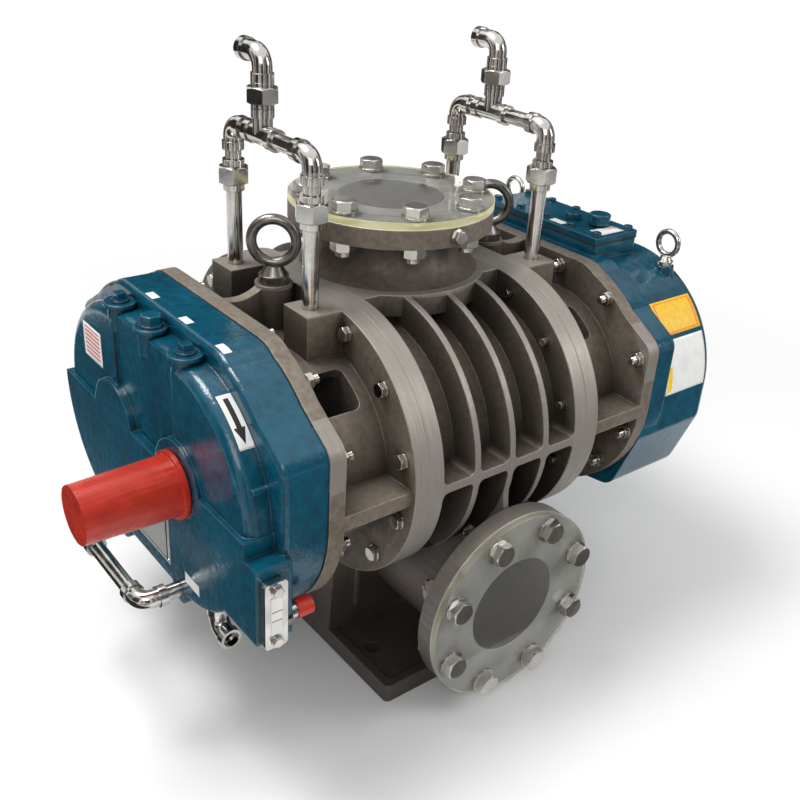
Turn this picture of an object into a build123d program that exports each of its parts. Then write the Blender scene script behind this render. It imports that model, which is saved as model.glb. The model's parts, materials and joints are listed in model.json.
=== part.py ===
from build123d import *
import os
from math import acos, cos, pi, sin, sqrt

os.makedirs("parts", exist_ok=True)

# A roots vacuum pump, in millimetres. X runs along the rotor shafts, with the drive end at -X and the
# timing gears at +X. The outlet faces -Y, the inlet faces +Z. The origin is on the underside of the
# feet, at the middle of their four holes.

# Rotors: three-lobed, true cycloids on equal pitch circles, each flank standing back by rotor_gap.
centre_distance = 190.0
lobes = 3
rotor_gap = 0.3
tip_gap = 0.4
end_gap = 0.5
shaft_height = 364.0
body_length = 278.0

# Casing and its two round flanges.
flange_radius = 192.0
barrel_radius = 150.0
band_width = 22.0
rib_count = 3
rib_width = 9.0
spine_width = 12.0
pipe_flange_radius = 142.5
pipe_flange_width = 26.0
pipe_bolt_circle = 240.0
pipe_bolt_count = 8
pipe_bolt_size = 20.0
pipe_hole = 22.0
port_bore = 146.0
neck_radius = 92.0
neck_flare = 44.0
inlet_height = 645.0
outlet_reach = 315.0
outlet_height = 155.0

# Feet.
foot_length = 314.0
foot_width = 500.0
foot_height = 22.0
foot_lip = 13.0
foot_lip_rise = 7.0
strip_x = 111.0
strip_width = 11.0
strip_foot = 62.0
strip_height = 76.0
pocket_round = 9.0
foot_hole = 24.0
foot_hole_x = 240.0
foot_hole_y = 330.0
pedestal_top = 224.0
pedestal_foot = 204.0
tie_root = 72.0
tie_reach = 132.0
tie_curve = 160.0

# Side plates, one at each end: a round flange, a drum with windows, and an eight-sided flange.
plate_band = 23.0
plate_length = 145.0
cover_flange = 22.0
drum_radius = 135.0
chamber_radius = 118.0
seal_wall = 41.0
window_angle = 56.0
window_width = 60.0
window_round = 10.0
bearing_wall = 48.0
web_width = 20.0
port_block = 54.0
port_spacing = 188.0
port_offset = 53.0
eye_offset = 49.0
cover_radius = 185.0
cover_corner = 100.0
cover_top_half = 140.0
top_round = 60.0
corner_round = 26.0
cover_bolt_edge = 17.0
end_bolt_size = 12.0
end_bolt_radius = 169.0
end_bolt_angles = (15.0, 46.0, 77.0)
end_bolt_inner = 46.0
end_bolt_reach = 8.0

# Drive-end oil cover and timing-gear case.
rim_width = 61.0
lobe_radius = 162.0
lobe_depth = 34.0
cover_cavity = 148.0
cover_wall = 8.0
face_step = 6.0
panel_step = 5.0
ledge_lip = 3.0
sump_top = 14.0
rim_round = 8.0
lobe_round = 16.0
ledge = 8.0
panel_half = 84.0
plug_pad = 17.0
lug_angle = 22.0
lug_length = 20.0
lug_size = 8.0
boss_radius = 58.0
sump_drop = 119.0
plug_size = 16.0
vent_stem = 20.0
gauge_middle = -74.0
gauge_pitch = 72.0
gauge_length = 92.0
gauge_width = 30.0
gauge_thick = 12.0
gauge_window = 16.0
filler_y = 272.0
filler_drop = 101.0
filler_radius = 12.0
case_eye_y = 170.0
case_eye_seat = 168.0
case_eye_inset = 30.0
eye_turn = -38.0
small_eye_scale = 0.62
sump_inner = 105.0
cooler_drop = 166.0
cooler_spacing = 176.0
cooler_boss = 21.0
plug_spacing = 92.0
gear_rim = 38.0
gear_lobe_radius = 178.0
gear_lobe_depth = 118.0
gear_sump_shoulder = 55.0
gear_sump_half = 236.0
gear_sump_drop = 158.0
lid_length = 96.0
lid_width = 244.0
lid_thick = 9.0
lid_gasket_thick = 2.0
lid_height = 200.0
lid_from_flange = 16.0
lid_edge = 12.0
lid_screw_pitch = 55.0

# Shafts and what runs on them.
rotor_seat = 75.0
seal_seat = 70.0
bearing_seat = 65.0
bearing_outer = 140.0
bearing_width = 33.0
drive_end_seat = 62.0
nose_diameter = 60.0
nose_length = 113.0
gear_seat = 60.0
gear_teeth = 38
gear_width = 46.0
gear_backlash = 0.5
running_gap = 0.05
seal_bush_wall = 11.0
roller_count = 12
slinger_radius = 88.0
slinger_width = 4.0
seal_width = 10.0
seal_outer = 90.0
lobe_hole = 46.0
retainer_thick = 8.0
locknut_width = 14.0
roller_diameter = 22.0
roller_pitch = 51.0
gear_hub = 80.0
gear_hub_length = 13.0
drain_y = 150.0
key_width = 18.0
key_height = 11.0
key_length = 90.0

# Blind covers of the two ports, and the shaft cap.
blank_thick = 10.0
cap_end = 74.0
cap_base = 80.0
cap_rim = 89.0
cap_wall = 2.0
cap_length = 126.0
cap_guide = 9.0

# Half-inch pipework.
pipe_diameter = 21.3
pipe_bore = 16.0
collar_diameter = 29.0
collar_width = 11.0
elbow_radius = 17.0
elbow_diameter = 25.0
union_flats = 38.0
bridge_height = 745.0
union_height = 679.0
tee_shift = 18.0
stub_union_height = 794.0
outlet_elbow_height = 842.0
outlet_elbow_reach = 44.0
thread_minor = 18.6
thread_depth = 15.0
cooler_reach = 54.0

# Worked-out values.
pitch_radius = centre_distance / 2
rolling_radius = pitch_radius / (2 * lobes)
tip_radius = pitch_radius + 2 * rolling_radius
rotor_bore = tip_radius - rotor_gap + tip_gap
x_face = body_length / 2
x_band = x_face + plate_band
x_out = x_face + plate_length
x_flange = x_out - cover_flange
x_rim = x_out + rim_width
x_lobe = x_rim + lobe_depth
x_front = x_lobe + face_step
x_gear_rim = x_out + gear_rim
x_case = x_gear_rim + gear_lobe_depth
cover_half = pitch_radius + cover_radius
axis_top = shaft_height + flange_radius
port_x = x_face + port_offset
eye_x = x_face + eye_offset
outlet_face = -outlet_reach
inlet_under = inlet_height - pipe_flange_width
outlet_under = outlet_face + pipe_flange_width
lid_x = x_out + lid_from_flange + lid_length / 2
lid_seat = shaft_height + lid_height
lid_top = lid_seat + lid_gasket_thick + lid_thick
plug_x = x_rim + lobe_depth / 2
plug_seat = shaft_height + lobe_radius + 8
nose_start = x_front + 1
nose_end = nose_start + nose_length
sides = (-1, 1)
gear_start = x_out + gear_hub_length
gear_end = gear_start + gear_width
nut_end = gear_end + locknut_width
bearing_start = x_out - bearing_width
slinger_start = x_out + locknut_width + 2
idle_end = slinger_start + slinger_width + 8
gauge_x = x_rim + 20
sump_side = cover_half + 6
case_eye_x = x_case - case_eye_inset
guide_radius = nose_diameter / 2 + running_gap
front_plane = Plane(origin=(-x_front, 0, shaft_height), x_dir=(0, -1, 0), z_dir=(-1, 0, 0))


def end_plane(x):
    """The plane across the shafts at x, with its origin at shaft height and its own x along +Y."""
    return Plane(origin=(x, 0, shaft_height), x_dir=(0, 1, 0), z_dir=(1, 0, 0))


# Outlines across the shafts.


def cover_outline(inset=0.0):
    """The eight-sided end outline: round below the shafts, flat-topped with sloping shoulders above."""
    half = cover_half - inset
    top = cover_radius - inset
    shoulder = cover_top_half - inset * 0.55
    corner = cover_corner - inset * 0.55
    with BuildSketch() as outline:
        SlotCenterToCenter(centre_distance, 2 * top)
        with BuildLine():
            Polyline((half, 0), (half, corner), (shoulder, top), (-shoulder, top), (-half, corner),
                     (-half, 0), close=True)
        make_face()
        fillet([v for v in outline.vertices() if v.Y > top - 1], radius=top_round - inset)
        fillet([v for v in outline.vertices() if corner - 1 < v.Y < corner + 1], radius=corner_round - inset)
    return outline.sketch


def end_bolt_points():
    """Places of the screws that hold a side plate to the casing, seen along the shafts."""
    points = []
    for side in sides:
        for angle in end_bolt_angles:
            for up in sides:
                y = side * (pitch_radius + end_bolt_radius * cos(angle * pi / 180))
                points.append((y, up * end_bolt_radius * sin(angle * pi / 180)))
        points += [(side * end_bolt_inner, up * end_bolt_radius) for up in sides]
    return points


def cover_bolt_points():
    """Places of the screws that hold a cover to the eight-sided flange."""
    arc = cover_radius - cover_bolt_edge
    points = [(0, -arc)]
    for side in sides:
        points.append((side * pitch_radius * 0.95, arc))
        points.append((side * (cover_half - 90), cover_radius - 37))
        points += [(side * (cover_half - cover_bolt_edge), up) for up in (80, -40)]
        for angle in (40, 70):
            y = pitch_radius + arc * cos(angle * pi / 180)
            points.append((side * y, -arc * sin(angle * pi / 180)))
    return points


def pipe_bolt_angles():
    """Flange bolts straddle the centre lines."""
    step = 360 / pipe_bolt_count
    return [step * (i + 0.5) for i in range(pipe_bolt_count)]


# Fasteners, each standing on the XY plane with its head above and its shank below.


def hex_prism(across_flats, height, hole=0.0, both_ends=False):
    """A hexagon with its corners turned off, as on a bolt head or a nut."""
    flat = across_flats / 2
    cone_base = flat * 0.95 + height * 1.732
    with BuildPart() as prism:
        with BuildSketch():
            RegularPolygon(radius=flat, side_count=6, major_radius=False)
        extrude(amount=height)
        Cone(cone_base, flat * 0.95, height, align=(Align.CENTER, Align.CENTER, Align.MIN),
             mode=Mode.INTERSECT)
        if both_ends:
            Cone(flat * 0.95, cone_base, height, align=(Align.CENTER, Align.CENTER, Align.MIN),
                 mode=Mode.INTERSECT)
        if hole:
            Cylinder(hole / 2, height, align=(Align.CENTER, Align.CENTER, Align.MIN), mode=Mode.SUBTRACT)
    return prism.part


def hex_bolt(size, shank, washer=True):
    """A hexagon bolt; its washer lies under the head and counts as part of it."""
    washer_thick = size * 0.15 if washer else 0.0
    with BuildPart() as bolt:
        Cylinder(size / 2, shank + 1, align=(Align.CENTER, Align.CENTER, Align.MAX))
        if washer:
            Cylinder(size * 0.92, washer_thick, align=(Align.CENTER, Align.CENTER, Align.MIN))
        with Locations((0, 0, washer_thick)):
            add(hex_prism(size * 1.5, size * 0.65))
            Cylinder(size / 2, 1, align=(Align.CENTER, Align.CENTER, Align.MIN))
    return bolt.part


def nut(size):
    """A hexagon nut on the XY plane, open through its thread."""
    return hex_prism(size * 1.5, size * 0.8, hole=size + 0.1, both_ends=True)


# ---- Casing ----

bay = (body_length - 2 * band_width - rib_count * rib_width) / (rib_count + 1)
pocket_end_above = pitch_radius + 8
pocket_end_below = pitch_radius + 22
pocket_align = {1: Align.MIN, -1: Align.MAX}
pocket_starts = [-x_face + band_width + i * (bay + rib_width) for i in range(rib_count + 1)]
pedestal_shoulder = shaft_height - flange_radius - 7

with BuildPart() as casing:
    # Barrel, full size from end to end; the pockets below leave the ribs standing.
    with BuildSketch(end_plane(-x_face)):
        SlotCenterToCenter(centre_distance, 2 * flange_radius)
    extrude(amount=body_length)
    for start in pocket_starts:
        with BuildSketch(end_plane(start)):
            for side in sides:
                for up, pocket_end in ((1, pocket_end_above), (-1, pocket_end_below)):
                    with Locations((side * pocket_end, up * spine_width / 2)):
                        Rectangle(flange_radius, flange_radius, align=(pocket_align[side], pocket_align[up]))
            SlotCenterToCenter(centre_distance, 2 * barrel_radius, mode=Mode.SUBTRACT)
        extrude(amount=bay, mode=Mode.SUBTRACT)
    # Cast corners where the ribs meet the spine.
    spine_corners = casing.edges().filter_by(Axis.Y).filter_by(
        lambda e: spine_width / 2 - 0.1 < abs(e.center().Z - shaft_height) < spine_width / 2 + 0.1)
    fillet(spine_corners, radius=pocket_round)
    # Pedestal, which is also the outlet chamber, narrowing slightly downwards.
    with BuildSketch(Plane.XY.offset(pedestal_shoulder)):
        Rectangle(foot_length, pedestal_top)
    with BuildSketch(Plane.XY):
        Rectangle(foot_length, pedestal_foot)
    loft()
    with BuildSketch(Plane.XY.offset(pedestal_shoulder)):
        Rectangle(body_length - 2 * band_width, pedestal_top)
    extrude(amount=shaft_height - pedestal_shoulder)
    # Foot plate with a raised lip round its edge, and a short strip on the pedestal above each bolt hole.
    with BuildSketch(Plane.XY):
        RectangleRounded(foot_length, foot_width, 8)
    extrude(amount=foot_height)
    with BuildSketch(Plane.XY.offset(foot_height)):
        RectangleRounded(foot_length, foot_width, 8)
        RectangleRounded(foot_length - 2 * foot_lip, foot_width - 2 * foot_lip, 6, mode=Mode.SUBTRACT)
    extrude(amount=foot_lip_rise)
    with BuildSketch(Plane.XY.offset(strip_foot)):
        with GridLocations(2 * strip_x, pedestal_foot, 2, 2):
            RectangleRounded(strip_width, 2 * strip_width, 3)
    extrude(amount=strip_height)
    # Inlet neck and flange.
    with BuildSketch(Plane.XZ):
        with BuildLine():
            Line((0, axis_top - 30), (0, inlet_under + 6))
            Line((0, inlet_under + 6), (neck_radius, inlet_under + 6))
            Line((neck_radius, inlet_under + 6), (neck_radius, axis_top + neck_flare))
            RadiusArc((neck_radius, axis_top + neck_flare), (neck_radius + neck_flare, axis_top),
                      -neck_flare)
            Line((neck_radius + neck_flare, axis_top), (neck_radius + neck_flare, axis_top - 30))
            Line((neck_radius + neck_flare, axis_top - 30), (0, axis_top - 30))
        make_face()
    revolve(axis=Axis.Z)
    with BuildSketch(Plane.XY.offset(inlet_under)):
        Circle(pipe_flange_radius)
    extrude(amount=pipe_flange_width)
    # Outlet nozzle and flange, and the rib that ties the flange to the barrel.
    outlet_plane = Plane(origin=(0, outlet_face, outlet_height), x_dir=(1, 0, 0), z_dir=(0, -1, 0))
    with BuildSketch(outlet_plane):
        Circle(pipe_flange_radius)
    extrude(amount=-pipe_flange_width)
    with BuildSketch(outlet_plane):
        Circle(neck_radius)
    extrude(amount=-(outlet_reach - pedestal_foot / 2 + 10))
    with BuildSketch(Plane.YZ.offset(-rib_width / 2)):
        with BuildLine():
            barrel_end = (-pitch_radius - flange_radius + 1, shaft_height)
            flange_end = (outlet_under + 1, outlet_height + tie_reach)
            Polyline(barrel_end, (-pitch_radius, shaft_height), (-pitch_radius, outlet_height + tie_root),
                     (outlet_under + 1, outlet_height + tie_root), flange_end)
            RadiusArc(flange_end, barrel_end, -tie_curve)
        make_face()
    extrude(amount=rib_width)
    # Rotor chamber, inlet port, outlet chamber and outlet bore.
    with BuildSketch(end_plane(-x_face)):
        with Locations((-pitch_radius, 0), (pitch_radius, 0)):
            Circle(rotor_bore)
    extrude(amount=body_length, mode=Mode.SUBTRACT)
    with BuildSketch(Plane.XY.offset(inlet_height)):
        Circle(port_bore / 2)
    with BuildSketch(Plane.XY.offset(shaft_height + 70)):
        RectangleRounded(body_length - 84, 130, 30)
    loft(mode=Mode.SUBTRACT)
    with BuildSketch(Plane.XY.offset(foot_height + 14)):
        RectangleRounded(body_length - 44, pedestal_foot - 36, 20)
    extrude(amount=shaft_height - foot_height - 84, mode=Mode.SUBTRACT)
    with BuildSketch(outlet_plane):
        Circle(port_bore / 2)
    extrude(amount=-(outlet_reach - pedestal_foot / 2 + 30), mode=Mode.SUBTRACT)
    # Holes: feet, pipe flanges, end faces, and the tapping in the inlet flange's rim.
    with Locations((0, 0, foot_height)):
        with GridLocations(foot_hole_x, foot_hole_y, 2, 2):
            Hole(foot_hole / 2, depth=foot_height)
    for angle in pipe_bolt_angles():
        c, s = cos(angle * pi / 180) * pipe_bolt_circle / 2, sin(angle * pi / 180) * pipe_bolt_circle / 2
        with Locations(Location((c, s, inlet_height))):
            Hole(pipe_hole / 2, depth=pipe_flange_width)
        with Locations(outlet_plane * Location((c, s, 0))):
            Hole(pipe_hole / 2, depth=pipe_flange_width)
    for side in sides:
        mouth = Plane(origin=(side * x_face, 0, shaft_height), x_dir=(0, 1, 0), z_dir=(side, 0, 0))
        for y, z in end_bolt_points():
            with Locations(mouth * Location((y, z, 0))):
                Hole(end_bolt_size / 2 + running_gap, depth=band_width + end_bolt_reach + 4)
    rim_tap = Plane(origin=(0, -pipe_flange_radius, inlet_under + pipe_flange_width / 2), x_dir=(1, 0, 0),
                    z_dir=(0, -1, 0))
    with Locations(rim_tap.location):
        Hole(6.6, depth=16)
casing.part.label = "casing"
export_step(casing.part, "parts/casing.step")

# ---- Side plates ----

with BuildPart() as gear_side_plate:
    with BuildSketch(end_plane(x_face)):
        SlotCenterToCenter(centre_distance, 2 * flange_radius)
    extrude(amount=plate_band)
    with BuildSketch(end_plane(x_face)):
        SlotCenterToCenter(centre_distance, 2 * drum_radius)
    extrude(amount=plate_length)
    with BuildSketch(end_plane(x_flange)):
        add(cover_outline())
    extrude(amount=cover_flange)
    # Horizontal web at shaft height.
    with BuildSketch(end_plane(x_band - 1)):
        Rectangle(2 * cover_half, web_width)
    extrude(amount=x_flange - x_band + 2)
    # Port blocks for the seal-air pipes, flush with the round flange on top.
    with BuildSketch(Plane.XY.offset(shaft_height + 100)):
        for side in sides:
            with Locations(((x_band - 1 + port_x + 22) / 2, side * port_spacing / 2)):
                Rectangle(port_x + 22 - x_band + 1, port_block)
    extrude(amount=flange_radius - 100)
    # Pillar of the lifting eye, with a hollow-backed web to the eight-sided flange.
    with BuildSketch(Plane.XY.offset(shaft_height + 110)):
        with Locations((eye_x, 0)):
            Circle(25)
    extrude(amount=flange_radius - 107)
    with BuildSketch(Plane.XZ.offset(-8)):
        with BuildLine():
            Line((x_band, shaft_height + 120), (x_flange + 1, shaft_height + 120))
            Line((x_flange + 1, shaft_height + 120), (x_flange + 1, shaft_height + cover_radius - 1))
            RadiusArc((x_flange + 1, shaft_height + cover_radius - 1), (eye_x + 22, axis_top), 60)
            Line((eye_x + 22, axis_top), (x_band, axis_top))
            Line((x_band, axis_top), (x_band, shaft_height + 120))
        make_face()
    extrude(amount=16)
    # Open chamber between the seals and the bearings, its windows, and the bores.
    with BuildSketch(end_plane(x_face + seal_wall)):
        SlotCenterToCenter(centre_distance, 2 * chamber_radius)
    extrude(amount=plate_length - seal_wall - bearing_wall, mode=Mode.SUBTRACT)
    chamber_length = plate_length - seal_wall - bearing_wall
    for side in sides:
        for up in sides:
            direction = (0, side * cos(window_angle * pi / 180), up * sin(window_angle * pi / 180))
            middle = (x_face + seal_wall + chamber_length / 2, side * pitch_radius, shaft_height)
            window = Plane(origin=middle, x_dir=(1, 0, 0), z_dir=direction)
            with BuildSketch(window.offset(chamber_radius - 24)):
                RectangleRounded(chamber_length, window_width, window_round)
            extrude(amount=drum_radius - chamber_radius + 44, mode=Mode.SUBTRACT)
    for side in sides:
        with BuildSketch(end_plane(x_face)):
            with Locations((side * pitch_radius, 0)):
                Circle(seal_seat / 2 + seal_bush_wall)
        extrude(amount=seal_wall, mode=Mode.SUBTRACT)
        with BuildSketch(end_plane(x_out - bearing_wall)):
            with Locations((side * pitch_radius, 0)):
                Circle(bearing_outer / 2 - 12)
        extrude(amount=bearing_wall, mode=Mode.SUBTRACT)
        with BuildSketch(end_plane(x_out - bearing_width)):
            with Locations((side * pitch_radius, 0)):
                Circle(bearing_outer / 2)
        extrude(amount=bearing_width, mode=Mode.SUBTRACT)
        with Locations(Location((port_x, side * port_spacing / 2, axis_top))):
            CounterBoreHole(6, pipe_diameter / 2, 16, depth=flange_radius - chamber_radius + 6)
    with Locations(Location((eye_x, 0, axis_top + 3))):
        Hole(10 + running_gap, depth=32)
    for y, z in end_bolt_points():
        with Locations(end_plane(x_band) * Location((y, z, 0))):
            Hole(end_bolt_size / 2 + 0.75, depth=plate_band)
    for y, z in cover_bolt_points():
        with Locations(end_plane(x_out) * Location((y, z, 0))):
            Hole(end_bolt_size / 2 + 0.75, depth=cover_flange)

with BuildPart() as drive_side_plate:
    add(mirror(gear_side_plate.part, about=Plane.YZ))
gear_side_plate.part.label = "gear_side_plate"
export_step(gear_side_plate.part, "parts/gear_side_plate.step")
drive_side_plate.part.label = "drive_side_plate"
export_step(drive_side_plate.part, "parts/drive_side_plate.step")

# ---- Drive-end oil cover ----

with BuildPart() as drive_cover:
    with BuildSketch(end_plane(-x_rim)):
        add(cover_outline(inset=2))
    extrude(amount=rim_width)
    fillet(drive_cover.faces().sort_by(Axis.X)[0].outer_wire().edges(), radius=rim_round)
    # Corner block that carries the level gauge, spot-faced behind for the filler.
    with BuildSketch(end_plane(-x_front)):
        with Locations((-(sump_side + sump_inner) / 2, -(sump_top + sump_drop) / 2)):
            Rectangle(sump_side - sump_inner, sump_drop - sump_top)
    extrude(amount=x_front - x_rim + rim_round)
    with Locations(end_plane(-x_rim) * Location((-filler_y, -filler_drop, 0))):
        Cylinder(filler_radius + 4, rim_round + 1, align=(Align.CENTER, Align.CENTER, Align.MIN),
                 mode=Mode.SUBTRACT)
    # The lobed part, its front edge rounded.
    with BuildSketch(end_plane(-x_lobe)):
        SlotCenterToCenter(centre_distance, 2 * lobe_radius)
    extrude(amount=lobe_depth)
    lobe_edges = drive_cover.edges().filter_by(
        lambda e: abs(e.center().X + x_lobe) < 0.1 and e.center().Z > shaft_height + ledge + 1)
    fillet(lobe_edges, radius=lobe_round)
    # The lower half stands forward and outward of the upper half, up to a ledge just above the shafts.
    with BuildSketch(end_plane(-x_front)):
        SlotCenterToCenter(centre_distance, 2 * (lobe_radius + ledge_lip))
        with Locations((0, ledge + lobe_radius)):
            Rectangle(3 * lobe_radius + centre_distance, 2 * lobe_radius, mode=Mode.SUBTRACT)
    extrude(amount=x_front - x_rim)
    # A panel sunk between the two lobes of the upper half.
    with BuildSketch(end_plane(-x_lobe)):
        with Locations((0, ledge + lobe_radius / 2)):
            Rectangle(2 * panel_half, lobe_radius)
    extrude(amount=panel_step, mode=Mode.SUBTRACT)
    with BuildSketch(end_plane(-x_front)):
        with Locations((-pitch_radius, 0), (pitch_radius, 0)):
            Circle(boss_radius)
    extrude(amount=face_step + panel_step)
    # Bosses of the cooling loop, pads of the three plugs on top, and a small lug beside the ledge.
    with BuildSketch(end_plane(-x_front)):
        with Locations((-cooler_spacing / 2, -cooler_drop), (cooler_spacing / 2, -cooler_drop)):
            Circle(cooler_boss)
    extrude(amount=x_front - x_rim)
    with BuildSketch(Plane.XY.offset(shaft_height + lobe_radius - 30)):
        with Locations(*[(-plug_x, i * plug_spacing) for i in (-1, 0, 1)]):
            Circle(plug_pad)
    extrude(amount=plug_seat - shaft_height - lobe_radius + 30)
    for side in sides:
        lug_y = side * (pitch_radius + lobe_radius * cos(lug_angle * pi / 180))
        with BuildSketch(end_plane(-x_rim - lug_length)):
            with Locations((lug_y, lobe_radius * sin(lug_angle * pi / 180))):
                Circle(lug_size / 2)
        extrude(amount=lug_length)
    # Oil space, shaft opening with its seal seat, and the tappings.
    with BuildSketch(end_plane(-x_lobe + cover_wall)):
        SlotCenterToCenter(centre_distance, 2 * cover_cavity)
    extrude(amount=x_lobe - cover_wall - x_out, mode=Mode.SUBTRACT)
    with Locations(front_plane * Location((pitch_radius, 0, 0))):
        CounterBoreHole(drive_end_seat / 2 + 5, seal_outer / 2, seal_width, depth=30)
    for i in (-1, 0, 1):
        with Locations(Location((-plug_x, i * plug_spacing, plug_seat))):
            Hole(plug_size / 2, depth=24)
    for y, z in cover_bolt_points():
        with Locations(end_plane(-x_out) * Location((y, z, 0))):
            Hole(end_bolt_size / 2 + running_gap, depth=28)
    for side in sides:
        with Locations(front_plane * Location((side * cooler_spacing / 2, -cooler_drop, 0))):
            Hole(pipe_diameter / 2, depth=16)
    with Locations(Location((-plug_x, -drain_y, shaft_height - 100))):
        Hole(pipe_diameter / 2, depth=100)
    gauge_place = (-gauge_x, -sump_side, shaft_height + gauge_middle)
    gauge_plane = Plane(origin=gauge_place, x_dir=(1, 0, 0), z_dir=(0, -1, 0))
    with Locations(gauge_plane.location):
        with Locations((0, gauge_pitch / 2), (0, -gauge_pitch / 2)):
            Hole(4, depth=14)
    with Locations(end_plane(-x_rim) * Location((-filler_y, -filler_drop, 0))):
        Hole(filler_radius - 3, depth=16)
drive_cover.part.label = "drive_cover"
export_step(drive_cover.part, "parts/drive_cover.step")

# ---- Timing-gear case and its lid ----

with BuildPart() as gear_case:
    with BuildSketch(end_plane(x_out)):
        add(cover_outline(inset=2))
    extrude(amount=gear_rim)
    with BuildSketch(end_plane(x_out)) as case_outline:
        SlotCenterToCenter(centre_distance, 2 * gear_lobe_radius)
        with BuildLine():
            side = pitch_radius + gear_lobe_radius
            Polyline((-side, 0), (-side, -gear_sump_shoulder), (-gear_sump_half, -gear_sump_drop),
                     (-pitch_radius, -gear_lobe_radius - 1), (pitch_radius, -gear_lobe_radius - 1),
                     (gear_sump_half, -gear_sump_drop), (side, -gear_sump_shoulder), (side, 0), close=True)
        make_face()
        fillet(case_outline.vertices().filter_by(lambda v: v.Y < -1), radius=28)
    extrude(amount=x_case - x_out)
    fillet(gear_case.faces().sort_by(Axis.X)[-1].edges(), radius=18)
    # Raised neck under the lid, and the seats of the two eyebolts.
    with BuildSketch(Plane.XY.offset(shaft_height + 120)):
        with Locations((lid_x, 0)):
            RectangleRounded(lid_length - 2, lid_width - 2, 6)
    extrude(amount=lid_height - 120)
    with Locations(*[(case_eye_x, side * case_eye_y, shaft_height + 110) for side in sides]):
        Cone(24, 14.5, case_eye_seat - 110, align=(Align.CENTER, Align.CENTER, Align.MIN))
    with BuildSketch(end_plane(x_out)):
        SlotCenterToCenter(centre_distance, 2 * (gear_lobe_radius - 20))
    extrude(amount=x_case - 10 - x_out, mode=Mode.SUBTRACT)
    with BuildSketch(Plane.XY.offset(shaft_height + 100)):
        with Locations((lid_x, 0)):
            Rectangle(lid_length - 2 * lid_edge - 12, lid_width - 2 * lid_edge - 12)
    extrude(amount=lid_height, mode=Mode.SUBTRACT)
    for y, z in cover_bolt_points():
        mouth = Plane(origin=(x_out, y, shaft_height + z), x_dir=(0, 1, 0), z_dir=(-1, 0, 0))
        with Locations(mouth.location):
            Hole(end_bolt_size / 2 + running_gap, depth=28)
    with Locations(Location((lid_x, 0, lid_seat))):
        with GridLocations(lid_length - 2 * lid_edge, lid_screw_pitch, 2, 5):
            Hole(4, depth=14)
    with Locations(Location((0, 0, shaft_height + case_eye_seat))):
        with Locations((case_eye_x, -case_eye_y), (case_eye_x, case_eye_y)):
            Hole(10 * small_eye_scale + running_gap, depth=22)
gear_case.part.label = "gear_case"
export_step(gear_case.part, "parts/gear_case.step")

with BuildPart() as lid_gasket:
    with BuildSketch(Plane.XY.offset(lid_seat)):
        with Locations((lid_x, 0)):
            RectangleRounded(lid_length, lid_width, 6)
            Rectangle(lid_length - 2 * lid_edge - 12, lid_width - 2 * lid_edge - 12, mode=Mode.SUBTRACT)
            with GridLocations(lid_length - 2 * lid_edge, lid_screw_pitch, 2, 5):
                Circle(4, mode=Mode.SUBTRACT)
    extrude(amount=lid_gasket_thick)
lid_gasket.part.label = "lid_gasket"
export_step(lid_gasket.part, "parts/lid_gasket.step")

with BuildPart() as gear_case_lid:
    with BuildSketch(Plane.XY.offset(lid_seat + lid_gasket_thick)):
        with Locations((lid_x, 0)):
            RectangleRounded(lid_length, lid_width, 6)
            with GridLocations(lid_length - 2 * lid_edge, lid_screw_pitch, 2, 5):
                Circle(4, mode=Mode.SUBTRACT)
        with Locations((lid_x + 7, -75)):
            Circle(vent_stem / 2, mode=Mode.SUBTRACT)
        with Locations((lid_x - 3, -30)):
            Circle(plug_size / 2, mode=Mode.SUBTRACT)
    extrude(amount=lid_thick)
    chamfer(gear_case_lid.faces().sort_by(Axis.Z)[-1].outer_wire().edges(), length=1.2)
gear_case_lid.part.label = "gear_case_lid"
export_step(gear_case_lid.part, "parts/gear_case_lid.step")

with BuildPart() as breather_cap:
    with Locations(Location((lid_x + 7, -75, lid_top))):
        Cylinder(vent_stem / 2, 12, align=(Align.CENTER, Align.CENTER, Align.MAX))
        Cylinder(vent_stem / 2, 5, align=(Align.CENTER, Align.CENTER, Align.MIN))
        with Locations((0, 0, 4)):
            Cylinder(17, 16, align=(Align.CENTER, Align.CENTER, Align.MIN))
    fillet(breather_cap.edges().filter_by(GeomType.CIRCLE).group_by(Axis.Z)[-1], radius=3)
breather_cap.part.label = "breather_cap"
export_step(breather_cap.part, "parts/breather_cap.step")

with BuildPart() as fill_plug:
    with Locations(Location((lid_x - 3, -30, lid_top))):
        Cylinder(plug_size / 2, 12, align=(Align.CENTER, Align.CENTER, Align.MAX))
        add(hex_prism(22, 11))
fill_plug.part.label = "fill_plug"
export_step(fill_plug.part, "parts/fill_plug.step")

lid_screw = hex_bolt(8, shank=18)
with BuildPart() as lid_screws:
    with Locations(Location((lid_x, 0, lid_top))):
        with GridLocations(lid_length - 2 * lid_edge, lid_screw_pitch, 2, 5):
            add(lid_screw)
lid_screws.part.label = "lid_screws"
export_step(lid_screws.part, "parts/lid_screws.step")

# ---- Blind covers of the two ports, with their bolts and nuts ----

pipe_bolt = hex_bolt(pipe_bolt_size, shank=blank_thick + pipe_flange_width + 22)
pipe_nut = nut(pipe_bolt_size)
inlet_frame = Plane(origin=(0, 0, inlet_height), x_dir=(1, 0, 0), z_dir=(0, 0, 1))
outlet_frame = Plane(origin=(0, outlet_face, outlet_height), x_dir=(1, 0, 0), z_dir=(0, -1, 0))


def port_bolt_places(frame, height):
    """Where the port's bolts stand, at a height above the flange face."""
    reach = pipe_bolt_circle / 2
    turns = [angle * pi / 180 for angle in pipe_bolt_angles()]
    return [frame * Location((reach * cos(a), reach * sin(a), height), (0, 0, a * 180 / pi)) for a in turns]


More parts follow.
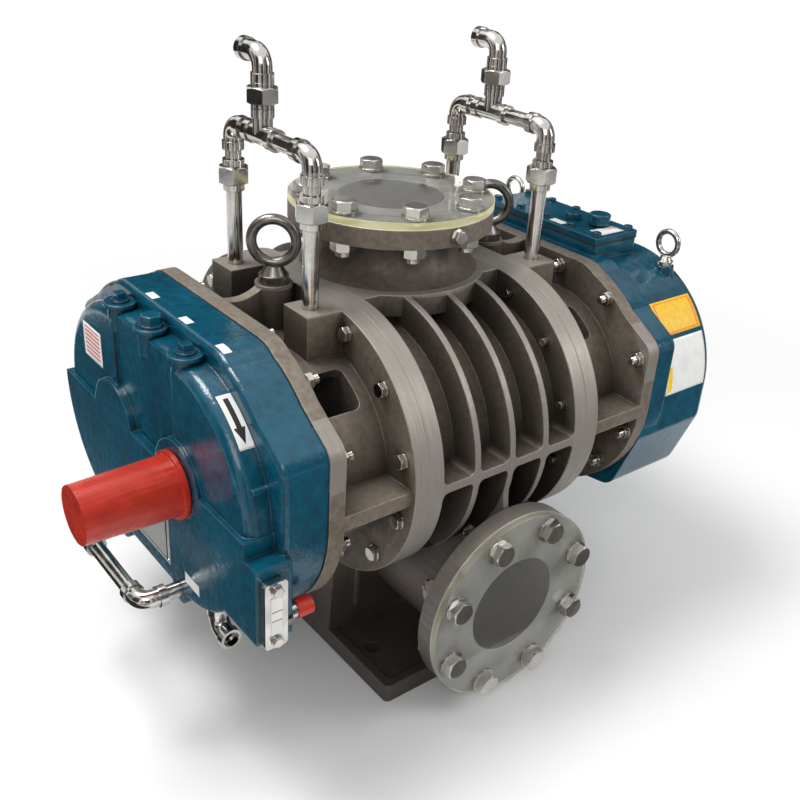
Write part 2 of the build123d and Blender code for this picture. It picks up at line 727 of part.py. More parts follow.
def blind_cover(frame):
    """A clear disc over a port, drilled as the flange is."""
    with BuildPart() as blank:
        with BuildSketch(frame):
            Circle(pipe_flange_radius)
            with PolarLocations(pipe_bolt_circle / 2, pipe_bolt_count, start_angle=180 / pipe_bolt_count):
                Circle(pipe_hole / 2, mode=Mode.SUBTRACT)
        extrude(amount=blank_thick)
        chamfer(blank.edges().filter_by(GeomType.CIRCLE).filter_by(lambda e: e.radius > 100), length=0.8)
    return blank.part


with BuildPart() as inlet_cover:
    add(blind_cover(inlet_frame))
inlet_cover.part.label = "inlet_cover"
export_step(inlet_cover.part, "parts/inlet_cover.step")

with BuildPart() as outlet_cover:
    add(blind_cover(outlet_frame))
outlet_cover.part.label = "outlet_cover"
export_step(outlet_cover.part, "parts/outlet_cover.step")

with BuildPart() as inlet_bolts:
    with Locations(*port_bolt_places(inlet_frame, blank_thick)):
        add(pipe_bolt)
inlet_bolts.part.label = "inlet_bolts"
export_step(inlet_bolts.part, "parts/inlet_bolts.step")

with BuildPart() as outlet_bolts:
    with Locations(*port_bolt_places(outlet_frame, blank_thick)):
        add(pipe_bolt)
outlet_bolts.part.label = "outlet_bolts"
export_step(outlet_bolts.part, "parts/outlet_bolts.step")

with BuildPart() as inlet_nuts:
    with Locations(*port_bolt_places(inlet_frame, -pipe_flange_width - pipe_bolt_size * 0.8)):
        add(pipe_nut)
inlet_nuts.part.label = "inlet_nuts"
export_step(inlet_nuts.part, "parts/inlet_nuts.step")

with BuildPart() as outlet_nuts:
    with Locations(*port_bolt_places(outlet_frame, -pipe_flange_width - pipe_bolt_size * 0.8)):
        add(pipe_nut)
outlet_nuts.part.label = "outlet_nuts"
export_step(outlet_nuts.part, "parts/outlet_nuts.step")

# ---- Screws of the end joints ----

casing_bolt = hex_bolt(end_bolt_size, shank=plate_band + band_width + end_bolt_reach)
with BuildPart() as casing_screws:
    for side in sides:
        for y, z in end_bolt_points():
            seat = Plane(origin=(side * x_band, y, shaft_height + z), x_dir=(0, 0, 1), z_dir=(side, 0, 0))
            with Locations(seat.location):
                add(casing_bolt)
casing_screws.part.label = "casing_screws"
export_step(casing_screws.part, "parts/casing_screws.step")

cover_bolt = hex_bolt(end_bolt_size, shank=cover_flange + 24)
with BuildPart() as cover_screws:
    for side in sides:
        for y, z in cover_bolt_points():
            seat = Plane(origin=(side * x_flange, y, shaft_height + z), x_dir=(0, 0, 1), z_dir=(-side, 0, 0))
            with Locations(seat.location):
                add(cover_bolt)
cover_screws.part.label = "cover_screws"
export_step(cover_screws.part, "parts/cover_screws.step")

# ---- Rotors ----


def cycloid(t, outside):
    """A point of the ideal flank: on the lobe outside the pitch circle, or in the valley inside it."""
    big = pitch_radius + rolling_radius if outside else pitch_radius - rolling_radius
    small = -rolling_radius if outside else rolling_radius
    turn = big * t / rolling_radius
    y = big * sin(t) + small * sin(turn) * (1 if outside else -1)
    return (big * cos(t) + small * cos(turn), y)


def flank_point(t, outside):
    """The same point moved into the metal by rotor_gap, along the line to the rolling contact."""
    px, py = cycloid(t, outside)
    qx, qy = pitch_radius * cos(t) - px, pitch_radius * sin(t) - py
    length = sqrt(qx * qx + qy * qy)
    if length < 1e-6:
        inward = 1 if t < pi / (2 * lobes) else -1
        inward = inward if outside else -inward
        return (px - inward * rotor_gap * sin(t), py + inward * rotor_gap * cos(t))
    move = rotor_gap / length if outside else -rotor_gap / length
    return (px + qx * move, py + qy * move)


def flank(outside, start_angle):
    """One lobe or one valley as a row of points, turned to start_angle."""
    steps = 14
    points = []
    for i in range(steps + 1):
        x, y = flank_point(i / steps * pi / lobes, outside)
        c, s = cos(start_angle), sin(start_angle)
        points.append((x * c - y * s, x * s + y * c))
    return points


def rotor_profile():
    """The three-lobed outline with one lobe along its own x."""
    half_period = pi / (2 * lobes)
    with BuildSketch() as profile:
        with BuildLine():
            for i in range(lobes):
                start = 2 * pi * i / lobes - half_period
                Spline(*flank(True, start))
                Spline(*flank(False, start + pi / lobes))
        make_face()
        Circle(rotor_seat / 2, mode=Mode.SUBTRACT)
        with PolarLocations(pitch_radius * 0.84, lobes):
            Circle(lobe_hole / 2, mode=Mode.SUBTRACT)
    return profile.sketch


rotor_face = rotor_profile()
with BuildPart() as drive_rotor:
    with BuildSketch(end_plane(-x_face + end_gap)):
        with Locations((-pitch_radius, 0)):
            add(rotor_face)
    extrude(amount=body_length - 2 * end_gap)
drive_rotor.part.label = "drive_rotor"
export_step(drive_rotor.part, "parts/drive_rotor.step")

with BuildPart() as idle_rotor:
    with BuildSketch(end_plane(-x_face + end_gap)):
        with Locations((pitch_radius, 0)):
            add(rotor_face)
    extrude(amount=body_length - 2 * end_gap)
idle_rotor.part.label = "idle_rotor"
export_step(idle_rotor.part, "parts/idle_rotor.step")


# ---- Shafts ----


def turned_shaft(side, steps):
    """A stepped shaft from (start, end, diameter) along X, on the drive or the idle axis."""
    with BuildPart() as shaft:
        for start, end, diameter in steps:
            with BuildSketch(end_plane(start)):
                with Locations((side * pitch_radius, 0)):
                    Circle(diameter / 2)
            extrude(amount=end - start)
        chamfer(shaft.faces().sort_by(Axis.X)[0].edges(), length=2)
        chamfer(shaft.faces().sort_by(Axis.X)[-1].edges(), length=2)
    return shaft.part


middle_steps = [
    (-x_out, -bearing_start, bearing_seat),
    (-bearing_start, -x_face + end_gap, seal_seat),
    (-x_face + end_gap, x_face - end_gap, rotor_seat),
    (x_face - end_gap, bearing_start, seal_seat),
    (bearing_start, x_out, bearing_seat),
    (x_out, nut_end + 4, gear_seat),
]
drive_shaft_stock = turned_shaft(-1, [(-nose_end, -nose_start, nose_diameter),
                                      (-nose_start, -x_out, drive_end_seat)] + middle_steps)
key_start = nose_start + cap_guide + 7
key_floor = nose_diameter / 2 - 7
with BuildPart() as drive_shaft:
    add(drive_shaft_stock)
    with BuildSketch(Plane.XY.offset(shaft_height + key_floor)):
        with Locations((-key_start - key_length / 2, -pitch_radius)):
            SlotOverall(key_length, key_width)
    extrude(amount=20, mode=Mode.SUBTRACT)
drive_shaft.part.label = "drive_shaft"
export_step(drive_shaft.part, "parts/drive_shaft.step")

with BuildPart() as shaft_key:
    with BuildSketch(Plane.XY.offset(shaft_height + key_floor)):
        with Locations((-key_start - key_length / 2, -pitch_radius)):
            SlotOverall(key_length, key_width)
    extrude(amount=key_height)
shaft_key.part.label = "shaft_key"
export_step(shaft_key.part, "parts/shaft_key.step")

idle_shaft_stock = turned_shaft(1, [(-idle_end, -x_out, drive_end_seat)] + middle_steps)
with BuildPart() as idle_shaft:
    add(idle_shaft_stock)
idle_shaft.part.label = "idle_shaft"
export_step(idle_shaft.part, "parts/idle_shaft.step")


# ---- What runs on the shafts ----


def shaft_ring(x, length, inner, outer):
    """A plain ring centred on the X axis, from x onwards."""
    with BuildPart() as ring:
        with BuildSketch(Plane.YZ.offset(x)):
            Circle(outer / 2)
            Circle(inner / 2, mode=Mode.SUBTRACT)
        extrude(amount=length)
    return ring.part


def ring_places(side):
    """The place of a ring made about the X axis, on one shaft's axis."""
    return Location((0, side * pitch_radius, shaft_height))


race_gap = 0.3
inner_race = 2 * roller_pitch - roller_diameter + 0.4
outer_race = 2 * roller_pitch + roller_diameter + 2 * race_gap
with BuildPart() as rolling_set:
    for start in (-x_out, bearing_start):
        with BuildSketch(Plane.YZ.offset(start)):
            Circle(inner_race / 2)
            Circle(bearing_seat / 2, mode=Mode.SUBTRACT)
        extrude(amount=bearing_width)
        with BuildSketch(Plane.YZ.offset(start + 4)):
            with PolarLocations(roller_pitch, roller_count):
                Circle(roller_diameter / 2)
        extrude(amount=bearing_width - 8)

with BuildPart() as drive_bearing_rollers:
    with Locations(ring_places(-1)):
        add(rolling_set.part)
drive_bearing_rollers.part.label = "drive_bearing_rollers"
export_step(drive_bearing_rollers.part, "parts/drive_bearing_rollers.step")

with BuildPart() as idle_bearing_rollers:
    with Locations(ring_places(1)):
        add(rolling_set.part)
idle_bearing_rollers.part.label = "idle_bearing_rollers"
export_step(idle_bearing_rollers.part, "parts/idle_bearing_rollers.step")

outer_ring = shaft_ring(bearing_start, bearing_width, outer_race, bearing_outer)
opposite_outer_ring = shaft_ring(-x_out, bearing_width, outer_race, bearing_outer)
with BuildPart() as bearing_outer_rings:
    with Locations(ring_places(-1), ring_places(1)):
        add(outer_ring)
        add(opposite_outer_ring)
bearing_outer_rings.part.label = "bearing_outer_rings"
export_step(bearing_outer_rings.part, "parts/bearing_outer_rings.step")

retainer = shaft_ring(x_out, retainer_thick, outer_race + 1, bearing_outer + 24)
opposite_retainer = shaft_ring(-x_out - retainer_thick, retainer_thick, outer_race + 1, bearing_outer + 24)
with BuildPart() as bearing_retainers:
    with Locations(ring_places(-1), ring_places(1)):
        add(retainer)
        add(opposite_retainer)
bearing_retainers.part.label = "bearing_retainers"
export_step(bearing_retainers.part, "parts/bearing_retainers.step")

bush_bore = seal_seat + 2 * running_gap
bush = shaft_ring(x_face, seal_wall, bush_bore, seal_seat + 2 * seal_bush_wall)
opposite_bush = shaft_ring(-x_face - seal_wall, seal_wall, bush_bore, seal_seat + 2 * seal_bush_wall)
with BuildPart() as seal_bushes:
    with Locations(ring_places(-1), ring_places(1)):
        add(bush)
        add(opposite_bush)
seal_bushes.part.label = "seal_bushes"
export_step(seal_bushes.part, "parts/seal_bushes.step")

lip_ring = shaft_ring(-x_front, seal_width, drive_end_seat + 2 * running_gap, seal_outer)
with BuildPart() as drive_lip_seal:
    with Locations(ring_places(-1)):
        add(lip_ring)
drive_lip_seal.part.label = "drive_lip_seal"
export_step(drive_lip_seal.part, "parts/drive_lip_seal.step")

inner_nut = shaft_ring(-x_out - locknut_width, locknut_width, drive_end_seat, drive_end_seat + 26)
gear_nut = shaft_ring(gear_end, locknut_width, gear_seat, gear_seat + 28)
slinger_disc = shaft_ring(-slinger_start - slinger_width, slinger_width, drive_end_seat, 2 * slinger_radius)

with BuildPart() as drive_shaft_nuts:
    with Locations(ring_places(-1)):
        add(inner_nut)
        add(gear_nut)
drive_shaft_nuts.part.label = "drive_shaft_nuts"
export_step(drive_shaft_nuts.part, "parts/drive_shaft_nuts.step")

with BuildPart() as idle_shaft_nuts:
    with Locations(ring_places(1)):
        add(inner_nut)
        add(gear_nut)
idle_shaft_nuts.part.label = "idle_shaft_nuts"
export_step(idle_shaft_nuts.part, "parts/idle_shaft_nuts.step")

with BuildPart() as drive_oil_slinger:
    with Locations(ring_places(-1)):
        add(slinger_disc)
drive_oil_slinger.part.label = "drive_oil_slinger"
export_step(drive_oil_slinger.part, "parts/drive_oil_slinger.step")

with BuildPart() as idle_oil_slinger:
    with Locations(ring_places(1)):
        add(slinger_disc)
idle_oil_slinger.part.label = "idle_oil_slinger"
export_step(idle_oil_slinger.part, "parts/idle_oil_slinger.step")


# ---- Timing gears ----

gear_module = centre_distance / gear_teeth
gear_tip = pitch_radius + gear_module
gear_root = pitch_radius - 1.25 * gear_module
base_radius = pitch_radius * cos(20 * pi / 180)


def involute(radius):
    """The involute's angle at a radius, from its base circle."""
    return sqrt((radius / base_radius) ** 2 - 1) - acos(base_radius / radius)


def half_tooth(radius):
    """Half the angle that a tooth takes at a radius."""
    at_pitch = pi / (2 * gear_teeth) - gear_backlash / (2 * pitch_radius)
    return at_pitch + involute(pitch_radius) - involute(radius)


def gear_outline(turn):
    """The toothed outline, its first tooth at the angle turn."""
    radii = [max(gear_root, base_radius + 0.01), pitch_radius, gear_tip]
    with BuildSketch() as outline:
        Circle(gear_root)
        with BuildLine():
            for i in range(gear_teeth):
                middle = turn + 2 * pi * i / gear_teeth
                halves = [(r, half_tooth(r)) for r in radii]
                rising = [(r * cos(middle - half), r * sin(middle - half)) for r, half in halves]
                falling = [(r * cos(middle + half), r * sin(middle + half)) for r, half in halves[::-1]]
                Polyline(*rising, *falling)
                after = middle + 2 * pi / gear_teeth - half_tooth(radii[0])
                Line(falling[-1], (radii[0] * cos(after), radii[0] * sin(after)))
        make_face()
        Circle(gear_seat / 2, mode=Mode.SUBTRACT)
    return outline.sketch


def timing_gear(side, turn):
    """One gear with its hub, web recess and lightening holes."""
    face = gear_outline(turn)
    with BuildPart() as gear:
        with BuildSketch(end_plane(gear_start)):
            with Locations((side * pitch_radius, 0)):
                add(face)
        extrude(amount=gear_width)
        with BuildSketch(end_plane(x_out)):
            with Locations((side * pitch_radius, 0)):
                Circle(gear_hub / 2)
                Circle(gear_seat / 2, mode=Mode.SUBTRACT)
        extrude(amount=gear_hub_length)
        with BuildSketch(end_plane(gear_end - 12)):
            with Locations((side * pitch_radius, 0)):
                Circle(gear_root - 9)
                Circle(gear_hub / 2 + 6, mode=Mode.SUBTRACT)
        extrude(amount=12, mode=Mode.SUBTRACT)
    return gear.part


drive_gear_stock = timing_gear(-1, 0.0)
with BuildPart() as drive_timing_gear:
    add(drive_gear_stock)
drive_timing_gear.part.label = "drive_timing_gear"
export_step(drive_timing_gear.part, "parts/drive_timing_gear.step")

# An even tooth count puts a tooth at both sides, so the mate starts half a pitch round.
idle_gear_stock = timing_gear(1, pi / gear_teeth)
with BuildPart() as idle_timing_gear:
    add(idle_gear_stock)
idle_timing_gear.part.label = "idle_timing_gear"
export_step(idle_timing_gear.part, "parts/idle_timing_gear.step")

# ---- Cap over the shaft end ----

cap_start = x_front + 2
with BuildPart() as shaft_cap:
    with BuildSketch(Plane(origin=(0, -pitch_radius, shaft_height), x_dir=(1, 0, 0), z_dir=(0, 1, 0))):
        with BuildLine():
            Polyline((-cap_start, 0), (-cap_start, cap_rim / 2), (-cap_start - 6, cap_rim / 2),
                     (-cap_start - 6, cap_base / 2), (-cap_start - cap_length, cap_end / 2),
                     (-cap_start - cap_length, 0), close=True)
        make_face()
    revolve(axis=Axis((0, -pitch_radius, shaft_height), (1, 0, 0)))
    with BuildSketch(Plane(origin=(0, -pitch_radius, shaft_height), x_dir=(1, 0, 0), z_dir=(0, 1, 0))):
        with BuildLine():
            Polyline((-cap_start, 0), (-cap_start, guide_radius), (-cap_start - cap_guide, guide_radius),
                     (-cap_start - cap_guide, cap_base / 2 - cap_wall),
                     (-cap_start - cap_length + cap_wall, cap_end / 2 - cap_wall),
                     (-cap_start - cap_length + cap_wall, 0), close=True)
        make_face()
    revolve(axis=Axis((0, -pitch_radius, shaft_height), (1, 0, 0)), mode=Mode.SUBTRACT)
    # Notch that passes the key.
    with BuildSketch(Plane.XY.offset(shaft_height)):
        with Locations((-cap_start - cap_guide / 2, -pitch_radius)):
            Rectangle(cap_guide, key_width + 2)
    extrude(amount=key_floor + key_height + 1, mode=Mode.SUBTRACT)
shaft_cap.part.label = "shaft_cap"
export_step(shaft_cap.part, "parts/shaft_cap.step")

# ---- Plugs, gauge and fittings of the drive cover ----

with BuildPart() as cover_side_plugs:
    with Locations((-plug_x, -plug_spacing, plug_seat), (-plug_x, plug_spacing, plug_seat)):
        Cylinder(plug_size / 2, 16, align=(Align.CENTER, Align.CENTER, Align.MAX))
        Cylinder(12, 3, align=(Align.CENTER, Align.CENTER, Align.MIN))
        Box(13, 13, 12, align=(Align.CENTER, Align.CENTER, Align.MIN))
cover_side_plugs.part.label = "cover_side_plugs"
export_step(cover_side_plugs.part, "parts/cover_side_plugs.step")

with BuildPart() as cover_vent_plug:
    with Locations(Location((-plug_x, 0, plug_seat))):
        Cylinder(plug_size / 2, 16, align=(Align.CENTER, Align.CENTER, Align.MAX))
        Cylinder(15, 3, align=(Align.CENTER, Align.CENTER, Align.MIN))
        with Locations((0, 0, 3)):
            add(hex_prism(24, 12))
cover_vent_plug.part.label = "cover_vent_plug"
export_step(cover_vent_plug.part, "parts/cover_vent_plug.step")

with BuildPart() as level_gauge_body:
    with BuildSketch(gauge_plane):
        RectangleRounded(gauge_width, gauge_length, 5)
        with Locations((0, gauge_pitch / 2), (0, -gauge_pitch / 2)):
            Circle(4, mode=Mode.SUBTRACT)
    extrude(amount=gauge_thick)
    with BuildSketch(gauge_plane.offset(gauge_thick)):
        Rectangle(gauge_window, gauge_pitch - 18)
    extrude(amount=-gauge_thick + 3, mode=Mode.SUBTRACT)
level_gauge_body.part.label = "level_gauge_body"
export_step(level_gauge_body.part, "parts/level_gauge_body.step")

with BuildPart() as level_gauge_glass:
    with BuildSketch(gauge_plane.offset(3)):
        Rectangle(gauge_window, gauge_pitch - 18)
    extrude(amount=gauge_thick - 2)
    chamfer(level_gauge_glass.faces().sort_by(Axis.Y)[0].edges(), length=0.8)
level_gauge_glass.part.label = "level_gauge_glass"
export_step(level_gauge_glass.part, "parts/level_gauge_glass.step")

gauge_bolt = hex_bolt(8, shank=gauge_thick + 12)
with BuildPart() as level_gauge_bolts:
    with Locations(gauge_plane.offset(gauge_thick).location):
        with Locations((0, gauge_pitch / 2), (0, -gauge_pitch / 2)):
            add(gauge_bolt)
level_gauge_bolts.part.label = "level_gauge_bolts"
export_step(level_gauge_bolts.part, "parts/level_gauge_bolts.step")

filler_place = (-x_rim, -filler_y, shaft_height - filler_drop)
filler_plane = Plane(origin=filler_place, x_dir=(0, 1, 0), z_dir=(1, 0, 0))
with BuildPart() as filler_fitting:
    with Locations(filler_plane.location):
        Cylinder(filler_radius - 3, 14, align=(Align.CENTER, Align.CENTER, Align.MAX))
        add(hex_prism(2 * filler_radius - 2, 12))
        Cylinder(filler_radius - 2, 20, align=(Align.CENTER, Align.CENTER, Align.MIN))
filler_fitting.part.label = "filler_fitting"
export_step(filler_fitting.part, "parts/filler_fitting.step")

with BuildPart() as filler_plug:
    with Locations(filler_plane.offset(20).location):
        Cylinder(filler_radius, 22, align=(Align.CENTER, Align.CENTER, Align.MIN))
    fillet(filler_plug.faces().sort_by(Axis.X)[-1].edges(), radius=2)
filler_plug.part.label = "filler_plug"
export_step(filler_plug.part, "parts/filler_plug.step")

# ---- Lifting eyes ----


def lifting_eye(scale, shank):
    """An eyebolt on its collar, ring upright across X, sized as M20 at scale 1."""
    with BuildPart() as eye:
        Cylinder(10 * scale, shank, align=(Align.CENTER, Align.CENTER, Align.MAX))
        Cylinder(20 * scale, 11 * scale, align=(Align.CENTER, Align.CENTER, Align.MIN))
        with Locations((0, 0, 11 * scale)):
            Cone(18 * scale, 11 * scale, 12 * scale, align=(Align.CENTER, Align.CENTER, Align.MIN))
        with Locations((0, 0, 55 * scale)):
            Torus(29 * scale, 7 * scale, rotation=(90, 0, 0))
    return eye.part


large_eye = lifting_eye(1.0, shank=30)
small_eye = lifting_eye(small_eye_scale, shank=18)
with BuildPart() as lifting_eyes:
    with Locations(*[Location((side * eye_x, 0, axis_top + 3), (0, 0, eye_turn)) for side in sides]):
        add(large_eye)
lifting_eyes.part.label = "lifting_eyes"
export_step(lifting_eyes.part, "parts/lifting_eyes.step")

with BuildPart() as case_eyebolts:
    with Locations(Location((case_eye_x, -case_eye_y, shaft_height + case_eye_seat), (0, 0, 90)),
                   Location((case_eye_x, case_eye_y, shaft_height + case_eye_seat), (0, 0, 90))):
        add(small_eye)
case_eyebolts.part.label = "case_eyebolts"
export_step(case_eyebolts.part, "parts/case_eyebolts.step")

# ---- Pipework ----

arm = elbow_radius + collar_width + 5
socket = 12.0


def elbow(second_arm):
    """An elbow with its corner at the origin: one arm down, the other along +Y, both with sockets."""
    corner = elbow_radius * (1 - sqrt(0.5))
    with BuildPart() as bend:
        with BuildLine() as path:
            Line((0, 0, -arm), (0, 0, -elbow_radius))
            ThreePointArc((0, 0, -elbow_radius), (0, corner, -corner), (0, elbow_radius, 0))
            Line((0, elbow_radius, 0), (0, second_arm, 0))
        with BuildSketch(Plane.XY.offset(-arm)):
            Circle(elbow_diameter / 2)
        sweep(path=path.line)
        with BuildSketch(Plane.XY.offset(-arm)):
            Circle(collar_diameter / 2)
        extrude(amount=collar_width)
        with BuildSketch(Plane.XZ.offset(-second_arm)):
            Circle(collar_diameter / 2)
        extrude(amount=collar_width)
        with BuildSketch(Plane.XY.offset(-arm)):
            Circle(pipe_bore / 2)
        sweep(path=path.line, mode=Mode.SUBTRACT)
        with BuildSketch(Plane.XY.offset(-arm)):
            Circle(pipe_diameter / 2)
        extrude(amount=socket, mode=Mode.SUBTRACT)
        with BuildSketch(Plane.XZ.offset(-second_arm)):
            Circle((pipe_diameter if second_arm == arm else thread_minor) / 2)
        extrude(amount=socket if second_arm == arm else thread_depth, mode=Mode.SUBTRACT)
    return bend.part


def tee():
    """A tee with its middle at the origin: the run along Y, the branch up."""
    with BuildPart() as body:
        with BuildSketch(Plane.XZ.offset(-arm)):
            Circle(elbow_diameter / 2)
        extrude(amount=2 * arm)
        for side in sides:
            with BuildSketch(Plane.XZ.offset(side * arm)):
                Circle(collar_diameter / 2)
            extrude(amount=-side * collar_width)
        with BuildSketch(Plane.XY):
            Circle(elbow_diameter / 2)
        extrude(amount=arm)
        with BuildSketch(Plane.XY.offset(arm)):
            Circle(collar_diameter / 2)
        extrude(amount=-collar_width)
        with BuildSketch(Plane.XZ.offset(-arm)):
            Circle(pipe_bore / 2)
        extrude(amount=2 * arm, mode=Mode.SUBTRACT)
        with BuildSketch(Plane.XY):
            Circle(pipe_bore / 2)
        extrude(amount=arm, mode=Mode.SUBTRACT)
        for side in sides:
            with BuildSketch(Plane.XZ.offset(side * arm)):
                Circle(pipe_diameter / 2)
            extrude(amount=-side * socket, mode=Mode.SUBTRACT)
        with BuildSketch(Plane.XY.offset(arm)):
            Circle(pipe_diameter / 2)
        extrude(amount=-socket, mode=Mode.SUBTRACT)
    return body.part


def tube(length):
    """A length of pipe standing on the XY plane."""
    with BuildPart() as pipe:
        with BuildSketch():
            Circle(pipe_diameter / 2)
            Circle(pipe_bore / 2, mode=Mode.SUBTRACT)
        extrude(amount=length)
    return pipe.part


def union(nut_height, collar_height):
    """A union's nut between two plain collars, centred on the origin, open for the pipe."""
    hexagon = hex_prism(union_flats, nut_height, hole=pipe_diameter, both_ends=True)
    with BuildPart() as joint:
        with Locations((0, 0, -nut_height / 2)):
            add(hexagon)
        for side in sides:
            with BuildSketch(Plane.XY.offset(side * nut_height / 2)):
                Circle(collar_diameter / 2)
                Circle(pipe_diameter / 2, mode=Mode.SUBTRACT)
            extrude(amount=side * collar_height)
    return joint.part


def bridge_places(*places):
    """Places at (y, z, turn about X) on both bridges."""
    return [Location((side * port_x, y, z), (turn, 0, 0)) for side in sides for y, z, turn in places]


riser_foot = axis_top - 16
riser_length = bridge_height - arm + socket - riser_foot
near_length = port_spacing / 2 - tee_shift - 2 * arm + 2 * socket
far_length = port_spacing / 2 + tee_shift - 2 * arm + 2 * socket
stub_foot = bridge_height + arm - socket
stub_length = outlet_elbow_height - arm + socket - stub_foot
riser = tube(riser_length)
near_run = tube(near_length)
far_run = tube(far_length)
stub = tube(stub_length)
corner_elbow = elbow(arm)
port_elbow = elbow(outlet_elbow_reach)
run_tee = tee()
riser_union = union(nut_height=23, collar_height=9)
stub_union = union(nut_height=20, collar_height=5)
half_span = port_spacing / 2

with BuildPart() as riser_pipes:
    with Locations(*bridge_places((-half_span, riser_foot, 0), (half_span, riser_foot, 0))):
        add(riser)
riser_pipes.part.label = "riser_pipes"
export_step(riser_pipes.part, "parts/riser_pipes.step")

with BuildPart() as crossover_pipes:
    with Locations(*bridge_places((tee_shift + arm - socket, bridge_height, -90))):
        add(near_run)
    with Locations(*bridge_places((tee_shift - arm + socket, bridge_height, 90))):
        add(far_run)
crossover_pipes.part.label = "crossover_pipes"
export_step(crossover_pipes.part, "parts/crossover_pipes.step")

with BuildPart() as stub_pipes:
    with Locations(*bridge_places((tee_shift, stub_foot, 0))):
        add(stub)
stub_pipes.part.label = "stub_pipes"
export_step(stub_pipes.part, "parts/stub_pipes.step")

with BuildPart() as pipe_elbows:
    for side in sides:
        with Locations(Location((side * port_x, -half_span, bridge_height)),
                       Location((side * port_x, half_span, bridge_height), (0, 0, 180))):
            add(corner_elbow)
pipe_elbows.part.label = "pipe_elbows"
export_step(pipe_elbows.part, "parts/pipe_elbows.step")

with BuildPart() as pipe_tees:
    with Locations(*bridge_places((tee_shift, bridge_height, 0))):
        add(run_tee)
pipe_tees.part.label = "pipe_tees"
export_step(pipe_tees.part, "parts/pipe_tees.step")

with BuildPart() as port_elbows:
    with Locations(*bridge_places((tee_shift, outlet_elbow_height, 0))):
        add(port_elbow)
port_elbows.part.label = "port_elbows"
export_step(port_elbows.part, "parts/port_elbows.step")

with BuildPart() as riser_unions:
    with Locations(*bridge_places((-half_span, union_height, 0), (half_span, union_height, 0))):
        add(riser_union)
riser_unions.part.label = "riser_unions"
export_step(riser_unions.part, "parts/riser_unions.step")

with BuildPart() as stub_unions:
    with Locations(*bridge_places((tee_shift, stub_union_height, 0))):
        add(stub_union)
stub_unions.part.label = "stub_unions"
export_step(stub_unions.part, "parts/stub_unions.step")

# Cooling-water loop in front of the drive cover.
cooler_x = x_front + cooler_reach
cooler_z = shaft_height - cooler_drop
cooler_tail = tube(cooler_reach - arm + socket + 14)
cooler_run = tube(cooler_spacing - 2 * arm + 2 * socket)

with BuildPart() as cooling_pipes:
    tail_start = -cooler_x + arm - socket
    tail_rows = [side * cooler_spacing / 2 for side in sides]
    with Locations(*[Location((tail_start, row, cooler_z), (0, 90, 0)) for row in tail_rows]):
        add(cooler_tail)
    with Locations(Location((-cooler_x, -cooler_spacing / 2 + arm - socket, cooler_z), (-90, 0, 0))):
        add(cooler_run)
cooling_pipes.part.label = "cooling_pipes"
export_step(cooling_pipes.part, "parts/cooling_pipes.step")

with BuildPart() as cooling_elbows:
    with Locations(Location((-cooler_x, -cooler_spacing / 2, cooler_z), (0, -90, 0)),
                   Location((-cooler_x, cooler_spacing / 2, cooler_z), (180, -90, 0))):
        add(corner_elbow)
cooling_elbows.part.label = "cooling_elbows"
export_step(cooling_elbows.part, "parts/cooling_elbows.step")

drain_z = shaft_height - lobe_radius - ledge_lip - 30
drain_length = 55.0
drain_tail = tube(drain_length)
with BuildPart() as drain_pipe:
    with Locations((-plug_x, -drain_y, drain_z - arm + 2 * arm - socket)):
        add(drain_tail)
drain_pipe.part.label = "drain_pipe"
export_step(drain_pipe.part, "parts/drain_pipe.step")

with BuildPart() as drain_elbow:
    with Locations(Location((-plug_x, -drain_y, drain_z), (180, 0, 0))):
        add(corner_elbow)
drain_elbow.part.label = "drain_elbow"
export_step(drain_elbow.part, "parts/drain_elbow.step")

# Small plugs: in the port blocks' far faces and in the inlet flange's rim.
with BuildPart() as block_plugs:
    for side in sides:
        face = Plane(origin=(side * port_x, (port_spacing + port_block) / 2, axis_top - 26),
                     x_dir=(1, 0, 0), z_dir=(0, 1, 0))
        with Locations(face.location):
            Cylinder(13, 4, align=(Align.CENTER, Align.CENTER, Align.MIN))
            with Locations((0, 0, 4)):
                add(hex_prism(19, 9))
block_plugs.part.label = "block_plugs"
export_step(block_plugs.part, "parts/block_plugs.step")

with BuildPart() as rim_plug:
    with Locations(rim_tap.location):
        Cylinder(6.6, 12, align=(Align.CENTER, Align.CENTER, Align.MAX))
        Cylinder(11, 2, align=(Align.CENTER, Align.CENTER, Align.MIN))
        with Locations((0, 0, 2)):
            add(hex_prism(17, 8))
rim_plug.part.label = "rim_plug"
export_step(rim_plug.part, "parts/rim_plug.step")
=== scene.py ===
# %% [markdown]
# # A roots vacuum pump
#
# The pump is a ribbed iron casing between two open side plates, with a blue oil cover at the drive end and
# a blue gear case at the other. Its metal parts arrive ready made from the CAD model, in metres, each where
# it belongs. This notebook gives them their finishes, adds the labels, marks and small fittings, and lights
# the scene.

import json
from math import cos, pi, radians, sin

import bmesh
import bpy
from mathutils import Matrix, Vector
from mathutils.bvhtree import BVHTree


